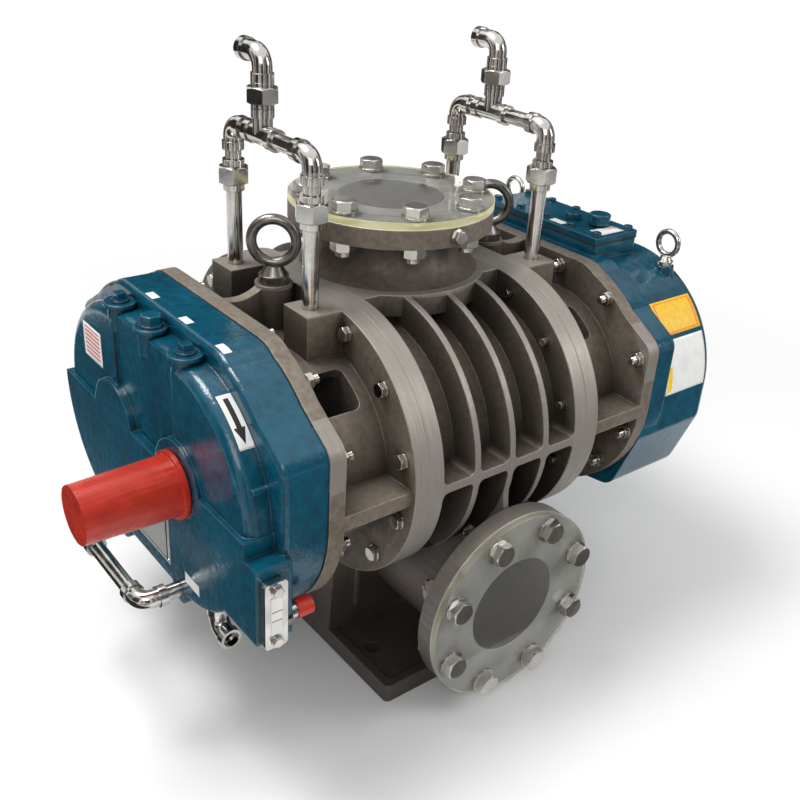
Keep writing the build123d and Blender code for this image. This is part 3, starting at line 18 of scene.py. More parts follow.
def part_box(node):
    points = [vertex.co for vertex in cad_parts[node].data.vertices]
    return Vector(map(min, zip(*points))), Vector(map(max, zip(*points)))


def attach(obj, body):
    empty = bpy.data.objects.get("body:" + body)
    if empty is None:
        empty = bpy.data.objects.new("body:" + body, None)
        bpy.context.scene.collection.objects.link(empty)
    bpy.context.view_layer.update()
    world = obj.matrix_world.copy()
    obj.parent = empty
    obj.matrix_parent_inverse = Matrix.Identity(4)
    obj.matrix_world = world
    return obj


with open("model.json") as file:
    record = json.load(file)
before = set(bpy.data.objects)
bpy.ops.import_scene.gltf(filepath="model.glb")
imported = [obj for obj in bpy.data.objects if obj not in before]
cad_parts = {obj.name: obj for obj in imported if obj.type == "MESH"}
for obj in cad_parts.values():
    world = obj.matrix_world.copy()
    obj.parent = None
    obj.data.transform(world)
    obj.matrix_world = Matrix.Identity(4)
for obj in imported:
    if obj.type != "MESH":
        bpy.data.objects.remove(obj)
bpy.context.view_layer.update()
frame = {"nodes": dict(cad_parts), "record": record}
nodes = frame["nodes"]

# %% [markdown]
# ## Camera
#
# A camera is an object whose own axes say where it looks: it looks down its -Z, with +Y up in the picture.
# A matrix with the right, up and back directions as columns places it exactly, with no aiming to tune.

# %% Place the camera


def camera_axes(yaw, pitch, roll):
    """Right, up and back directions of a camera that stands at yaw and pitch and is tilted by roll."""
    back = Vector((sin(yaw) * cos(pitch), -cos(yaw) * cos(pitch), sin(pitch)))
    level = Vector((cos(yaw), sin(yaw), 0.0))
    upright = back.cross(level)
    right = cos(roll) * level + sin(roll) * upright
    up = cos(roll) * upright - sin(roll) * level
    return right, up, back


camera = bpy.data.objects.new("Camera", bpy.data.cameras.new("Camera"))
bpy.context.scene.collection.objects.link(camera)
right, up, back = camera_axes(radians(-39.29), radians(27.56), radians(3.61))
turn = Matrix((right, up, back)).transposed()
camera.matrix_world = Matrix.Translation((-0.8148, -1.0427, 1.0234)) @ turn.to_4x4()
camera.data.lens = 43.96
camera.data.clip_start = 0.05
bpy.context.scene.camera = camera
print("camera at", [round(value, 3) for value in camera.location], "lens", camera.data.lens)

# %% [markdown]
# ## Shader helpers
#
# Nodes are quicker to read and to write when one line makes a node, sets its options and fills its sockets.
# These helpers do that. A number is typed into the socket; a socket is linked to it.

# %% Node helpers


def add(tree, kind, inputs=None, **settings):
    """Adds one shader node, sets its options, and fills or links its inputs."""
    made = tree.nodes.new(kind)
    for name, value in settings.items():
        setattr(made, name, value)
    for name, value in (inputs or {}).items():
        if isinstance(value, bpy.types.NodeSocket):
            tree.links.new(value, made.inputs[name])
        else:
            made.inputs[name].default_value = value
    return made


def new_material(name):
    """An empty material with its node tree, ready for a shader."""
    material = bpy.data.materials.new(name)
    material.use_nodes = True
    material.node_tree.nodes.clear()
    return material, material.node_tree


def calculate(tree, operation, *values):
    """One step of arithmetic on sockets or numbers."""
    return add(tree, "ShaderNodeMath", dict(enumerate(values)), operation=operation).outputs[0]


def spread(tree, value, low, high, to_low=0.0, to_high=1.0):
    """Maps the range low to high onto to_low to to_high, and clamps it there."""
    mapped = add(tree, "ShaderNodeMapRange", {"Value": value, "From Min": low, "From Max": high,
                                              "To Min": to_low, "To Max": to_high})
    return mapped.outputs["Result"]


def mix_colour(tree, factor, first, second):
    """A colour between first and second."""
    mixed = add(tree, "ShaderNodeMix", data_type="RGBA")
    for index, value in ((0, factor), (6, first), (7, second)):
        if isinstance(value, bpy.types.NodeSocket):
            tree.links.new(value, mixed.inputs[index])
        else:
            mixed.inputs[index].default_value = value
    return mixed.outputs[2]


def noise(tree, place, scale, detail=3.0, roughness=0.5):
    """A noise value from 0 to 1 at a place."""
    made = add(tree, "ShaderNodeTexNoise", {"Vector": place, "Scale": scale, "Detail": detail,
                                            "Roughness": roughness})
    return made.outputs["Fac"]


def here(tree):
    """The point being shaded, in metres, in the object's own frame."""
    return add(tree, "ShaderNodeTexCoord").outputs["Object"]


def finish_material(tree, shader):
    """Ends a material with its surface output."""
    add(tree, "ShaderNodeOutputMaterial", {"Surface": shader.outputs["BSDF"]})


# %% [markdown]
# ## Studio
#
# Polished pipe and glossy paint show what stands round them, so the room matters as much as the lamps. Wide
# area lamps give broad soft highlights, and the white surroundings leave the backdrop light. White on every
# side would wash out all the metal, which the cards after this cell put right.

# %% Floor, lamps and world
FLOOR_SIZE = 60.0
FLOOR_GAP = 0.0008
WORLD_LIGHT = 0.50
SHADOW_REACH = (0.95, 1.75)


def is_looked_at(tree):
    """1 for the rays that form the picture: from the camera, off a mirror or through glass."""
    ray = add(tree, "ShaderNodeLightPath").outputs
    seen = calculate(tree, "MAXIMUM", ray["Is Camera Ray"], ray["Is Transmission Ray"])
    return calculate(tree, "MAXIMUM", seen, ray["Is Glossy Ray"])


def floor_material():
    """A plain pale floor that holds the shadow, and fades to the surroundings' white beyond it."""
    material, tree = new_material("studio floor")
    place = here(tree)
    away = add(tree, "ShaderNodeVectorMath", {0: place}, operation="LENGTH").outputs["Value"]
    fade = calculate(tree, "MULTIPLY", spread(tree, away, *SHADOW_REACH), is_looked_at(tree))
    rough = spread(tree, noise(tree, place, 3.0), 0.3, 0.7, 0.60, 0.66)
    shader = add(tree, "ShaderNodeBsdfPrincipled", {
        "Base Color": mix_colour(tree, fade, (0.88, 0.88, 0.88, 1), (0, 0, 0, 1)), "Roughness": rough,
        "Specular IOR Level": 0.1, "Emission Color": mix_colour(tree, fade, (0, 0, 0, 1), (1, 1, 1, 1)),
        "Emission Strength": 1.0})
    finish_material(tree, shader)
    return material


def area_lamp(name, place, target, width, power):
    """A square soft lamp at place, aimed at target."""
    lamp = bpy.data.objects.new(name, bpy.data.lights.new(name, "AREA"))
    bpy.context.scene.collection.objects.link(lamp)
    lamp.data.size = width
    lamp.data.energy = power
    lamp.location = place
    lamp.rotation_euler = (Vector(target) - Vector(place)).to_track_quat("-Z", "Y").to_euler()
    return lamp


bpy.ops.mesh.primitive_plane_add(size=FLOOR_SIZE, location=(0, 0, -FLOOR_GAP))
floor = bpy.context.object
floor.name = "floor"
floor.data.materials.append(floor_material())

middle = (0.0, 0.0, 0.4)
area_lamp("key lamp", (-0.9, 0.7, 2.9), middle, 1.2, 66)
area_lamp("side lamp", (2.1, -2.1, 2.0), middle, 1.4, 34)
area_lamp("front lamp", (-1.9, -1.9, 2.2), middle, 1.2, 17)

world = bpy.data.worlds.new("studio")
bpy.context.scene.world = world
world.use_nodes = True
sky = world.node_tree
sky.nodes.clear()
strength = spread(sky, is_looked_at(sky), 0.0, 1.0, WORLD_LIGHT, 1.0)
glow = add(sky, "ShaderNodeBackground", {"Color": (1, 1, 1, 1), "Strength": strength})
add(sky, "ShaderNodeOutputWorld", {"Surface": glow.outputs["Background"]})
bpy.context.scene.view_settings.view_transform = "Standard"
print("three lamps, world strength", WORLD_LIGHT)

# %% [markdown]
# A ring of dark cards stands round the pump, as a photographer sets them up for silverware, and dark mats
# lie on the floor for the paint to mirror. Only reflections see cards and mats: they throw no shadow and
# take no light away.

# %% Dark cards that only reflections see
CARD_DISTANCE = 2.6
CARD_TONES = {
    "dark": (0.030, 0.028, 0.026, 1), "dim": (0.085, 0.080, 0.075, 1), "grey": (0.16, 0.155, 0.15, 1),
    "tan": (0.34, 0.18, 0.08, 1),
}
# Each card: direction in degrees, width and height in metres, tone.
CARDS = (
    (8, 1.0, 2.4, "dark"), (30, 0.9, 3.4, "dark"), (50, 0.7, 3.4, "grey"), (72, 1.0, 3.4, "dark"),
    (98, 0.9, 1.5, "tan"), (122, 1.3, 2.4, "dark"), (156, 1.2, 1.8, "grey"), (186, 1.4, 2.3, "dark"),
    (214, 0.5, 1.2, "tan"), (236, 1.1, 1.5, "dark"), (262, 0.8, 2.6, "grey"), (284, 1.0, 3.3, "dark"),
    (302, 0.5, 3.3, "grey"), (329, 1.0, 3.3, "dark"), (349, 0.6, 2.2, "tan"),
)
# Each mat: lowest and highest X and Y in metres, tone.
MATS = (
    (-1.60, -0.46, -0.25, 1.30, "dark"), (-0.12, 1.90, -1.90, -0.40, "dim"),
    (-0.95, -0.20, -1.70, -0.80, "tan"), (-1.30, -0.60, -0.75, -0.35, "dark"),
)
MAT_HEIGHT = 0.003


def card_material(name, colour):
    """Matt card."""
    material, tree = new_material(name)
    shade = add(tree, "ShaderNodeBsdfPrincipled", {"Base Color": colour, "Roughness": 0.9,
                                                   "Specular IOR Level": 0.0})
    finish_material(tree, shade)
    return material


card_materials = {tone: card_material(f"card {tone}", colour) for tone, colour in CARD_TONES.items()}


def reflected_only(name, corners, tone):
    """A four-cornered card that only mirror-like reflections show."""
    shape = bpy.data.meshes.new(name)
    shape.from_pydata([tuple(corner) for corner in corners], [], [(0, 1, 2, 3)])
    shape.materials.append(card_materials[tone])
    card = bpy.data.objects.new(name, shape)
    bpy.context.scene.collection.objects.link(card)
    card.visible_camera = False
    card.visible_diffuse = False
    card.visible_transmission = False
    card.visible_shadow = False


for number, (bearing, width, height, tone) in enumerate(CARDS):
    outward = Vector((cos(radians(bearing)), sin(radians(bearing)), 0.0))
    across = Vector((-outward.y, outward.x, 0.0)) * width / 2
    foot = outward * CARD_DISTANCE
    head = Vector((0, 0, height))
    lower, upper = (foot - across, foot + across), (foot + across + head, foot - across + head)
    reflected_only(f"card_{number}", lower + upper, tone)
for number, (x0, x1, y0, y1, tone) in enumerate(MATS):
    outline = ((x0, y0), (x1, y0), (x1, y1), (x0, y1))
    reflected_only(f"mat_{number}", [(x, y, MAT_HEIGHT) for x, y in outline], tone)
print(len(CARDS), "cards and", len(MATS), "mats for reflections")

# %% [markdown]
# ## Shared surface effects
#
# Several finishes need the same things: the skin that sand leaves on a casting, edges that are slightly
# round and lighter (rubbed bright on bare iron, a painted highlight on enamel), painted shade in corners,
# and the fine lines that a tool leaves. Each is a node group with named inputs, made once and placed in
# every material that needs it. The noise reads object coordinates, which are metres here, so a scale of 900
# means about a grain a millimetre.

# %% Node groups


def new_group(name, inputs, outputs):
    """A shader node group with its sockets, and its inner input and output sockets."""
    tree = bpy.data.node_groups.new(name, "ShaderNodeTree")
    kinds = {"value": "NodeSocketFloat", "vector": "NodeSocketVector"}
    for label, default in inputs.items():
        socket = tree.interface.new_socket(label, in_out="INPUT", socket_type=kinds["value"])
        socket.default_value = default
    for label, kind in outputs.items():
        tree.interface.new_socket(label, in_out="OUTPUT", socket_type=kinds[kind])
    return tree, add(tree, "NodeGroupInput").outputs, add(tree, "NodeGroupOutput").inputs


def use_group(tree, group, inputs=None):
    """Places a node group in a material."""
    return add(tree, "ShaderNodeGroup", inputs, node_tree=group).outputs


def cast_skin_group():
    """Sand-cast skin: a fine grain, wider lumps, and the mottled tone that goes with them."""
    tree, given, result = new_group("cast skin", {"Grain": 700.0, "Lumps": 90.0},
                                    {"Height": "value", "Mottle": "value", "Cloud": "value"})
    place = here(tree)
    grain = noise(tree, place, given["Grain"])
    lumps = noise(tree, place, given["Lumps"], 4.0)
    cloud = noise(tree, place, 13.0, 5.0, 0.6)
    height = calculate(tree, "MULTIPLY_ADD", grain, 0.35, calculate(tree, "MULTIPLY", lumps, 0.65))
    tree.links.new(height, result["Height"])
    tone = calculate(tree, "MULTIPLY_ADD", cloud, 0.5, calculate(tree, "MULTIPLY", lumps, 0.5))
    tree.links.new(spread(tree, tone, 0.36, 0.64), result["Mottle"])
    tree.links.new(spread(tree, cloud, 0.35, 0.65), result["Cloud"])
    return tree


def soft_edge_group():
    """A normal that rounds off sharp edges, and a mask of those edges: rubbed bright on bare iron, a painted
    highlight on enamel.
    """
    tree, given, result = new_group("soft edge", {"Width": 0.002, "Amount": 1.0},
                                    {"Normal": "vector", "Mask": "value"})
    rounded = add(tree, "ShaderNodeBevel", {"Radius": given["Width"]}, samples=6)
    tree.links.new(rounded.outputs["Normal"], result["Normal"])
    flat = add(tree, "ShaderNodeNewGeometry").outputs["Normal"]
    both = {0: rounded.outputs["Normal"], 1: flat}
    facing = add(tree, "ShaderNodeVectorMath", both, operation="DOT_PRODUCT")
    edge = spread(tree, facing.outputs["Value"], 0.995, 0.86)
    patches = spread(tree, noise(tree, here(tree), 60.0, 4.0), 0.38, 0.60, 0.25, 1.0)
    broken = calculate(tree, "MULTIPLY", edge, patches)
    tree.links.new(calculate(tree, "MULTIPLY", broken, given["Amount"]), result["Mask"])
    return tree


def corner_shade_group():
    """How far a place is shut in by its neighbours, so that painted shade gathers there."""
    tree, given, result = new_group("painted corner shade", {"Reach": 0.03}, {"Mask": "value"})
    shut = add(tree, "ShaderNodeAmbientOcclusion", {"Distance": given["Reach"]}, samples=6)
    tree.links.new(spread(tree, shut.outputs["AO"], 0.85, 0.30), result["Mask"])
    return tree


def tool_mark_group():
    """Fine lines round the shafts, as a lathe or a boring mill leaves them: close together along X."""
    tree, given, result = new_group("tool marks", {"Fineness": 1600.0}, {"Height": "value"})
    axes = add(tree, "ShaderNodeSeparateXYZ", {"Vector": here(tree)}).outputs
    along = calculate(tree, "MULTIPLY", axes["X"], given["Fineness"])
    stretched = add(tree, "ShaderNodeCombineXYZ", {
        "X": along, "Y": calculate(tree, "MULTIPLY", axes["Y"], 14.0),
        "Z": calculate(tree, "MULTIPLY", axes["Z"], 14.0)}).outputs["Vector"]
    tree.links.new(noise(tree, stretched, 1.0, 3.0), result["Height"])
    return tree


cast_skin = cast_skin_group()
soft_edge = soft_edge_group()
corner_shade = corner_shade_group()
tool_marks = tool_mark_group()
print("node groups:", ", ".join(group.name for group in (cast_skin, soft_edge, corner_shade, tool_marks)))

# %% [markdown]
# ## Metals
#
# Bare iron is not one grey: the cast skin is warm and dull, a machined rim is lighter, and corners and the
# low parts get painted shade. The machined places follow from the shape. A point's distance from the line
# between the two shafts says whether it lies on a flange's rim, so one formula finds all of them.

# %% Bare cast iron
SHAFT_HEIGHT = 0.364
HALF_CENTRES = 0.095
RIM_RADIUS = 0.192
RIM_DEPTH = 0.0012
FLANGE_FACE = 0.0006
FLANGE_SPAN = (0.1165, 0.1625)
BLOCK_TOP = 0.5572
INLET_HEIGHT = 0.645
OUTLET_REACH = 0.315


def across_two(tree, first, second):
    """The length of the diagonal whose two sides are given."""
    squares = [calculate(tree, "POWER", side, 2.0) for side in (first, second)]
    return calculate(tree, "SQRT", calculate(tree, "ADD", *squares))


def shaft_distance(tree):
    """Distance from the strip that joins the two shaft centres, seen along the shafts, and the position."""
    axes = add(tree, "ShaderNodeSeparateXYZ", {"Vector": here(tree)}).outputs
    sideways = calculate(tree, "ABSOLUTE", axes["Y"])
    beyond = calculate(tree, "MAXIMUM", calculate(tree, "SUBTRACT", sideways, HALF_CENTRES), 0.0)
    above = calculate(tree, "SUBTRACT", axes["Z"], SHAFT_HEIGHT)
    return across_two(tree, beyond, above), axes


def cast_iron_material():
    """Warm dull casting skin, with lighter machined rims, bright port faces, and painted shade in corners and
    towards the floor.
    """
    material, tree = new_material("bare cast iron")
    skin = use_group(tree, cast_skin, {"Grain": 620.0, "Lumps": 120.0})
    edge = use_group(tree, soft_edge, {"Width": 0.0026, "Amount": 0.9})
    painted_shade = use_group(tree, corner_shade, {"Reach": 0.085})["Mask"]
    worn = calculate(tree, "MULTIPLY", edge["Mask"], calculate(tree, "SUBTRACT", 1.0, painted_shade))
    lines = use_group(tree, tool_marks, {"Fineness": 1500.0})["Height"]
    distance, axes = shaft_distance(tree)
    along = calculate(tree, "ABSOLUTE", axes["X"])
    on_rim = calculate(tree, "GREATER_THAN", distance, RIM_RADIUS - RIM_DEPTH)
    flange = calculate(tree, "MULTIPLY", calculate(tree, "GREATER_THAN", along, FLANGE_SPAN[0]),
                       calculate(tree, "LESS_THAN", along, FLANGE_SPAN[1]))
    rim = calculate(tree, "MULTIPLY", on_rim, spread(tree, flange, 0.0, 1.0, 0.7, 1.0))
    rim = calculate(tree, "MULTIPLY", rim, calculate(tree, "LESS_THAN", axes["Z"], BLOCK_TOP))
    inlet = calculate(tree, "GREATER_THAN", axes["Z"], INLET_HEIGHT - FLANGE_FACE)
    outlet = calculate(tree, "LESS_THAN", axes["Y"], FLANGE_FACE - OUTLET_REACH)
    port = calculate(tree, "MAXIMUM", inlet, outlet)
    tone = mix_colour(tree, skin["Mottle"], (0.150, 0.122, 0.095, 1), (0.255, 0.218, 0.178, 1))
    stain = calculate(tree, "MULTIPLY", spread(tree, noise(tree, here(tree), 7.0, 4.0), 0.55, 0.75), 0.22)
    tone = mix_colour(tree, stain, tone, (0.235, 0.165, 0.090, 1))
    # Painted shade: shut-in corners and pockets go nearly black-brown.
    tone = mix_colour(tree, calculate(tree, "MULTIPLY", painted_shade, 0.90), tone, (0.024, 0.018, 0.014, 1))
    tone = mix_colour(tree, worn, tone, (0.40, 0.375, 0.34, 1))
    streaks = spread(tree, lines, 0.3, 0.7)
    ground = mix_colour(tree, streaks, (0.270, 0.245, 0.220, 1), (0.415, 0.385, 0.350, 1))
    tone = mix_colour(tree, calculate(tree, "MULTIPLY", rim, 0.85), tone, ground)
    # Painted shade: the iron goes darker towards the floor, below about 0.27 m.
    low = spread(tree, axes["Z"], 0.27, 0.10, 0.0, 0.82)
    tone = mix_colour(tree, low, tone, (0.042, 0.025, 0.018, 1))
    bright = mix_colour(tree, skin["Cloud"], (0.40, 0.395, 0.37, 1), (0.56, 0.55, 0.52, 1))
    tone = mix_colour(tree, port, tone, bright)
    rough = spread(tree, skin["Mottle"], 0.0, 1.0, 0.62, 0.47)
    rough = calculate(tree, "SUBTRACT", rough, calculate(tree, "MULTIPLY", rim, 0.12))
    rough = calculate(tree, "MULTIPLY_ADD", calculate(tree, "SUBTRACT", 0.36, rough), port, rough)
    plain = calculate(tree, "MAXIMUM", calculate(tree, "MULTIPLY", rim, 0.8), port)
    bump = add(tree, "ShaderNodeBump", {
        "Height": skin["Height"], "Distance": 0.0011, "Strength": spread(tree, plain, 0.0, 1.0, 0.9, 0.10),
        "Normal": edge["Normal"]})
    shader = add(tree, "ShaderNodeBsdfPrincipled", {
        "Base Color": tone, "Metallic": 0.40, "Roughness": rough, "Normal": bump.outputs["Normal"]})
    finish_material(tree, shader)
    return material


iron = cast_iron_material()

# %% [markdown]
# The other metals differ in tone, polish and marks, so one function makes them all. Soft edges matter most on
# bolts: each corner of a hexagon catches its own highlight.

# %% Turned, plated and polished metals
PAINTED_SHADE_TONE = (0.045, 0.038, 0.030, 1)


def turned_metal(name, dark, light, roughness, edge_width=0.0005, marks=900.0, depth=0.00005, shade_strength=0.6):
    """Machined, plated or polished metal with fine marks, a little uneven in tone."""
    material, tree = new_material(name)
    place = here(tree)
    cloud = noise(tree, place, 45.0, 5.0)
    fine = noise(tree, place, marks, 2.0)
    edge = use_group(tree, soft_edge, {"Width": edge_width, "Amount": 0.5})
    painted_shade = use_group(tree, corner_shade, {"Reach": 0.009})["Mask"]
    tone = mix_colour(tree, spread(tree, cloud, 0.35, 0.65), dark, light)
    # Painted shade: shut-in corners, such as under bolt heads, darken towards a dark brown.
    tone = mix_colour(tree, calculate(tree, "MULTIPLY", painted_shade, shade_strength), tone, PAINTED_SHADE_TONE)
    rough = spread(tree, cloud, 0.3, 0.7, roughness - 0.05, roughness + 0.06)
    bump = add(tree, "ShaderNodeBump", {"Height": fine, "Distance": depth, "Strength": 0.5,
                                        "Normal": edge["Normal"]})
    shader = add(tree, "ShaderNodeBsdfPrincipled", {
        "Base Color": tone, "Metallic": 1.0, "Roughness": rough, "Normal": bump.outputs["Normal"]})
    finish_material(tree, shader)
    return material


machined_iron = turned_metal("machined iron", (0.30, 0.29, 0.28, 1), (0.44, 0.43, 0.41, 1), 0.34)
steel = turned_metal("ground steel", (0.46, 0.46, 0.46, 1), (0.60, 0.60, 0.59, 1), 0.28)
zinc = turned_metal("zinc plate", (0.58, 0.56, 0.52, 1), (0.72, 0.70, 0.66, 1), 0.22, 0.0009)
stainless = turned_metal("polished stainless", (0.52, 0.50, 0.47, 1), (0.72, 0.70, 0.66, 1), 0.15, 0.0005)
forged = turned_metal("forged eye", (0.17, 0.16, 0.15, 1), (0.30, 0.285, 0.265, 1), 0.30, 0.0008, 500.0,
                      0.00015)
bronze = turned_metal("bearing bronze", (0.36, 0.22, 0.08, 1), (0.50, 0.33, 0.13, 1), 0.33)
print("metals:", ", ".join(m.name for m in (iron, machined_iron, steel, zinc, stainless, forged, bronze)))

# %% [markdown]
# ## Paint, plastic and rubber
#
# The blue enamel is thick and glossy over rough castings, so the lumps of the iron show as an orange-peel
# ripple that breaks up every highlight. The red cap is thin moulded plastic, drawn off its mould lengthwise.

# %% Blue enamel


def enamel_material():
    """Glossy teal-blue enamel over a casting."""
    material, tree = new_material("blue enamel")
    skin = use_group(tree, cast_skin, {"Grain": 330.0, "Lumps": 75.0})
    edge = use_group(tree, soft_edge, {"Width": 0.0028, "Amount": 0.45})
    painted_shade = use_group(tree, corner_shade, {"Reach": 0.014})["Mask"]
    tone = mix_colour(tree, skin["Mottle"], (0.0016, 0.044, 0.076, 1), (0.0034, 0.082, 0.136, 1))
    # Painted shade: corners darken towards a near black-blue.
    tone = mix_colour(tree, calculate(tree, "MULTIPLY", painted_shade, 0.7), tone, (0.0012, 0.011, 0.020, 1))
    # Painted highlight: the edges are lightened to a paler blue.
    tone = mix_colour(tree, edge["Mask"], tone, (0.018, 0.120, 0.180, 1))
    rough = spread(tree, skin["Mottle"], 0.0, 1.0, 0.18, 0.10)
    bump = add(tree, "ShaderNodeBump", {"Height": skin["Height"], "Distance": 0.0010, "Strength": 0.80,
                                        "Normal": edge["Normal"]})
    shader = add(tree, "ShaderNodeBsdfPrincipled", {
        "Base Color": tone, "Roughness": rough, "Specular IOR Level": 0.55, "Normal": bump.outputs["Normal"]})
    finish_material(tree, shader)
    return material


def moulded_material(name, dark, light, roughness, grain=500.0, depth=0.0001, drawn=False):
    """Moulded plastic or rubber: a faint grain, and lengthwise draw lines where it left the mould."""
    material, tree = new_material(name)
    skin = use_group(tree, cast_skin, {"Grain": grain, "Lumps": 35.0})
    edge = use_group(tree, soft_edge, {"Width": 0.0015, "Amount": 0.3})
    height = skin["Height"]
    if drawn:
        long = add(tree, "ShaderNodeMapping", {"Vector": here(tree), "Scale": (3.0, 90.0, 90.0)})
        height = calculate(tree, "MULTIPLY_ADD", noise(tree, long.outputs["Vector"], 1.0), 2.5, height)
    tone = mix_colour(tree, skin["Mottle"], dark, light)
    rough = spread(tree, skin["Mottle"], 0.0, 1.0, roughness + 0.06, roughness - 0.04)
    bump = add(tree, "ShaderNodeBump", {"Height": height, "Distance": depth, "Strength": 0.6,
                                        "Normal": edge["Normal"]})
    shader = add(tree, "ShaderNodeBsdfPrincipled", {
        "Base Color": tone, "Roughness": rough, "Normal": bump.outputs["Normal"]})
    finish_material(tree, shader)
    return material


enamel = enamel_material()
red_plastic = moulded_material("red plastic", (0.38, 0.014, 0.005, 1), (0.55, 0.034, 0.012, 1), 0.27,
                               depth=0.0012, drawn=True)
rubber = moulded_material("black rubber", (0.012, 0.012, 0.012, 1), (0.03, 0.03, 0.03, 1), 0.65)

# %% [markdown]
# ## Clear acrylic
#
# The port blanks are clear sheet: the flange's bright face shows through them, and their sawn edge looks
# pale yellow, because light that enters the sheet comes out there. Cycles would keep light from passing
# such a sheet to the iron behind, so shadow rays and diffuse rays are let through by Alpha.

# %% Acrylic
SHEET_RADIUS = 0.1425
SAWN_EDGE = 0.0008
CLEAR = (0.95, 0.96, 0.93, 1)


def acrylic_material(name, axis, middle_height, edge_tone, edge_glow):
    """Clear sheet with a tone and a glow of its own at the round edge; axis is the letter of its axis."""
    material, tree = new_material(name)
    place = here(tree)
    axes = add(tree, "ShaderNodeSeparateXYZ", {"Vector": place}).outputs
    other = "Z" if axis == "Y" else "Y"
    rise = calculate(tree, "SUBTRACT", axes[other], middle_height)
    edge = calculate(tree, "GREATER_THAN", across_two(tree, axes["X"], rise), SHEET_RADIUS - SAWN_EDGE)
    rough = spread(tree, noise(tree, place, 25.0, 4.0), 0.3, 0.7, 0.03, 0.09)
    rough = calculate(tree, "MAXIMUM", rough, calculate(tree, "MULTIPLY", edge, 0.35))
    path = add(tree, "ShaderNodeLightPath").outputs
    passing = calculate(tree, "MAXIMUM", path["Is Shadow Ray"], path["Is Diffuse Ray"])
    alpha = calculate(tree, "SUBTRACT", 1.0, calculate(tree, "MULTIPLY", passing, 0.9))
    # Painted glow: the sawn edge takes a pale tone and an emission, for the light that comes out of the edge.
    shader = add(tree, "ShaderNodeBsdfPrincipled", {
        "Base Color": mix_colour(tree, edge, CLEAR, edge_tone), "Roughness": rough,
        "Transmission Weight": 1.0, "IOR": 1.49, "Alpha": alpha,
        "Emission Color": mix_colour(tree, edge, (0, 0, 0, 1), edge_glow), "Emission Strength": 1.0})
    finish_material(tree, shader)
    return material


inlet_acrylic = acrylic_material("clear acrylic", "Z", 0.0, (0.88, 0.86, 0.60, 1), (0.36, 0.34, 0.16, 1))
outlet_acrylic = acrylic_material("clear acrylic upright", "Y", 0.155, (0.70, 0.69, 0.58, 1),
                                  (0.12, 0.115, 0.08, 1))
print("coatings:", ", ".join(m.name for m in (enamel, red_plastic, rubber, inlet_acrylic, outlet_acrylic)))

# %% [markdown]
# ## Dressing the CAD pieces
#
# Each CAD piece takes its finish by the slot that its record names, so a new bolt or pipe in the model is
# dressed with no change here. A few pieces differ from their slot's usual finish.

# %% Assign materials
finishes = {
    "cast_iron": iron, "machined_iron": machined_iron, "machined_steel": steel, "zinc_steel": zinc,
    "pipe_steel": stainless, "bronze": bronze, "blue_paint": enamel, "red_plastic": red_plastic,
    "gasket": rubber, "clear_acrylic": inlet_acrylic,
}
own_finish = {"outlet_cover": outlet_acrylic, "lifting_eyes": forged, "case_eyebolts": stainless}


def dress(node, material):
    """Gives a CAD piece one material in all its slots."""
    piece = nodes[node]
    if not piece.material_slots:
        piece.data.materials.append(material)
    for place in piece.material_slots:
        place.material = material


for entry in frame["record"]["subparts"]:
    dress(entry["node"], own_finish.get(entry["node"], finishes[entry["material_slot"]]))
print("dressed", len(nodes), "pieces in", len(finishes) + len(own_finish), "finishes")

# %% [markdown]
# ## Labels and plates
#
# A label is thin film that follows the casting under it. Modelled flat, it would float over the curve, so a
# small grid is dropped onto the surface instead: a ray from each grid point finds the casting, and the point
# stops just above it. What is printed on it is drawn by a few sums on the label's own coordinates, which run
# from 0 to 1 both ways. The plates that would name the maker are left bare.

# %% Sheets that follow a surface
SHEET_THICKNESS = 0.0003
SHEET_LIFT = 0.0004
RAY_START = 0.03
RAY_LENGTH = 0.08
housing = "housing"


def surface_tree(node):
    """A CAD piece's faces, ready to be met by rays."""
    mesh = nodes[node].data
    places = [corner.co for corner in mesh.vertices]
    return BVHTree.FromPolygons(places, [face.vertices[:] for face in mesh.polygons])


surfaces = {node: surface_tree(node) for node in ("drive_cover", "gear_case", "gear_case_lid")}


def stick(name, node, centre, out, up, size, material, grid=12):
    """Lays a thin sheet of a size, in millimetres, on a CAD piece, facing out with its top towards up."""
    out, up = Vector(out).normalized(), Vector(up).normalized()
    across = up.cross(out)
    width, height = size[0] / 1000, size[1] / 1000
    middle = Vector(centre) / 1000
    points, corners = [], []
    for row in range(grid + 1):
        for column in range(grid + 1):
            u, v = column / grid, row / grid
            start = middle + across * (u - 0.5) * width + up * (v - 0.5) * height + out * RAY_START
            met = surfaces[node].ray_cast(start, -out, RAY_LENGTH)[0]
            points.append(met + out * SHEET_LIFT)
            corners.append((u, v))
    faces = []
    for row in range(grid):
        for column in range(grid):
            first = row * (grid + 1) + column
            faces.append((first, first + 1, first + grid + 2, first + grid + 1))
    mesh = bpy.data.meshes.new(name)
    mesh.from_pydata(points, [], faces)
    layer = mesh.uv_layers.new(name="print")
    for loop in mesh.loops:
        layer.data[loop.index].uv = corners[loop.vertex_index]
    mesh.shade_smooth()
    mesh.materials.append(material)
    sheet = bpy.data.objects.new(name, mesh)
    bpy.context.scene.collection.objects.link(sheet)
    film = sheet.modifiers.new("film", "SOLIDIFY")
    film.thickness, film.offset = SHEET_THICKNESS, -1.0
    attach(sheet, housing)
    return sheet


def inside(tree, value, low, high):
    """1 where value lies between low and high."""
    return calculate(tree, "MULTIPLY", calculate(tree, "GREATER_THAN", value, low),
                     calculate(tree, "LESS_THAN", value, high))


def frame_print(tree, u, v, margin=0.05, line=0.03):
    """A thin rectangle just inside the label's edge."""
    def ring(edge):
        return calculate(tree, "MULTIPLY", inside(tree, u, edge, 1 - edge), inside(tree, v, edge, 1 - edge))
    return calculate(tree, "SUBTRACT", ring(margin), ring(margin + line))


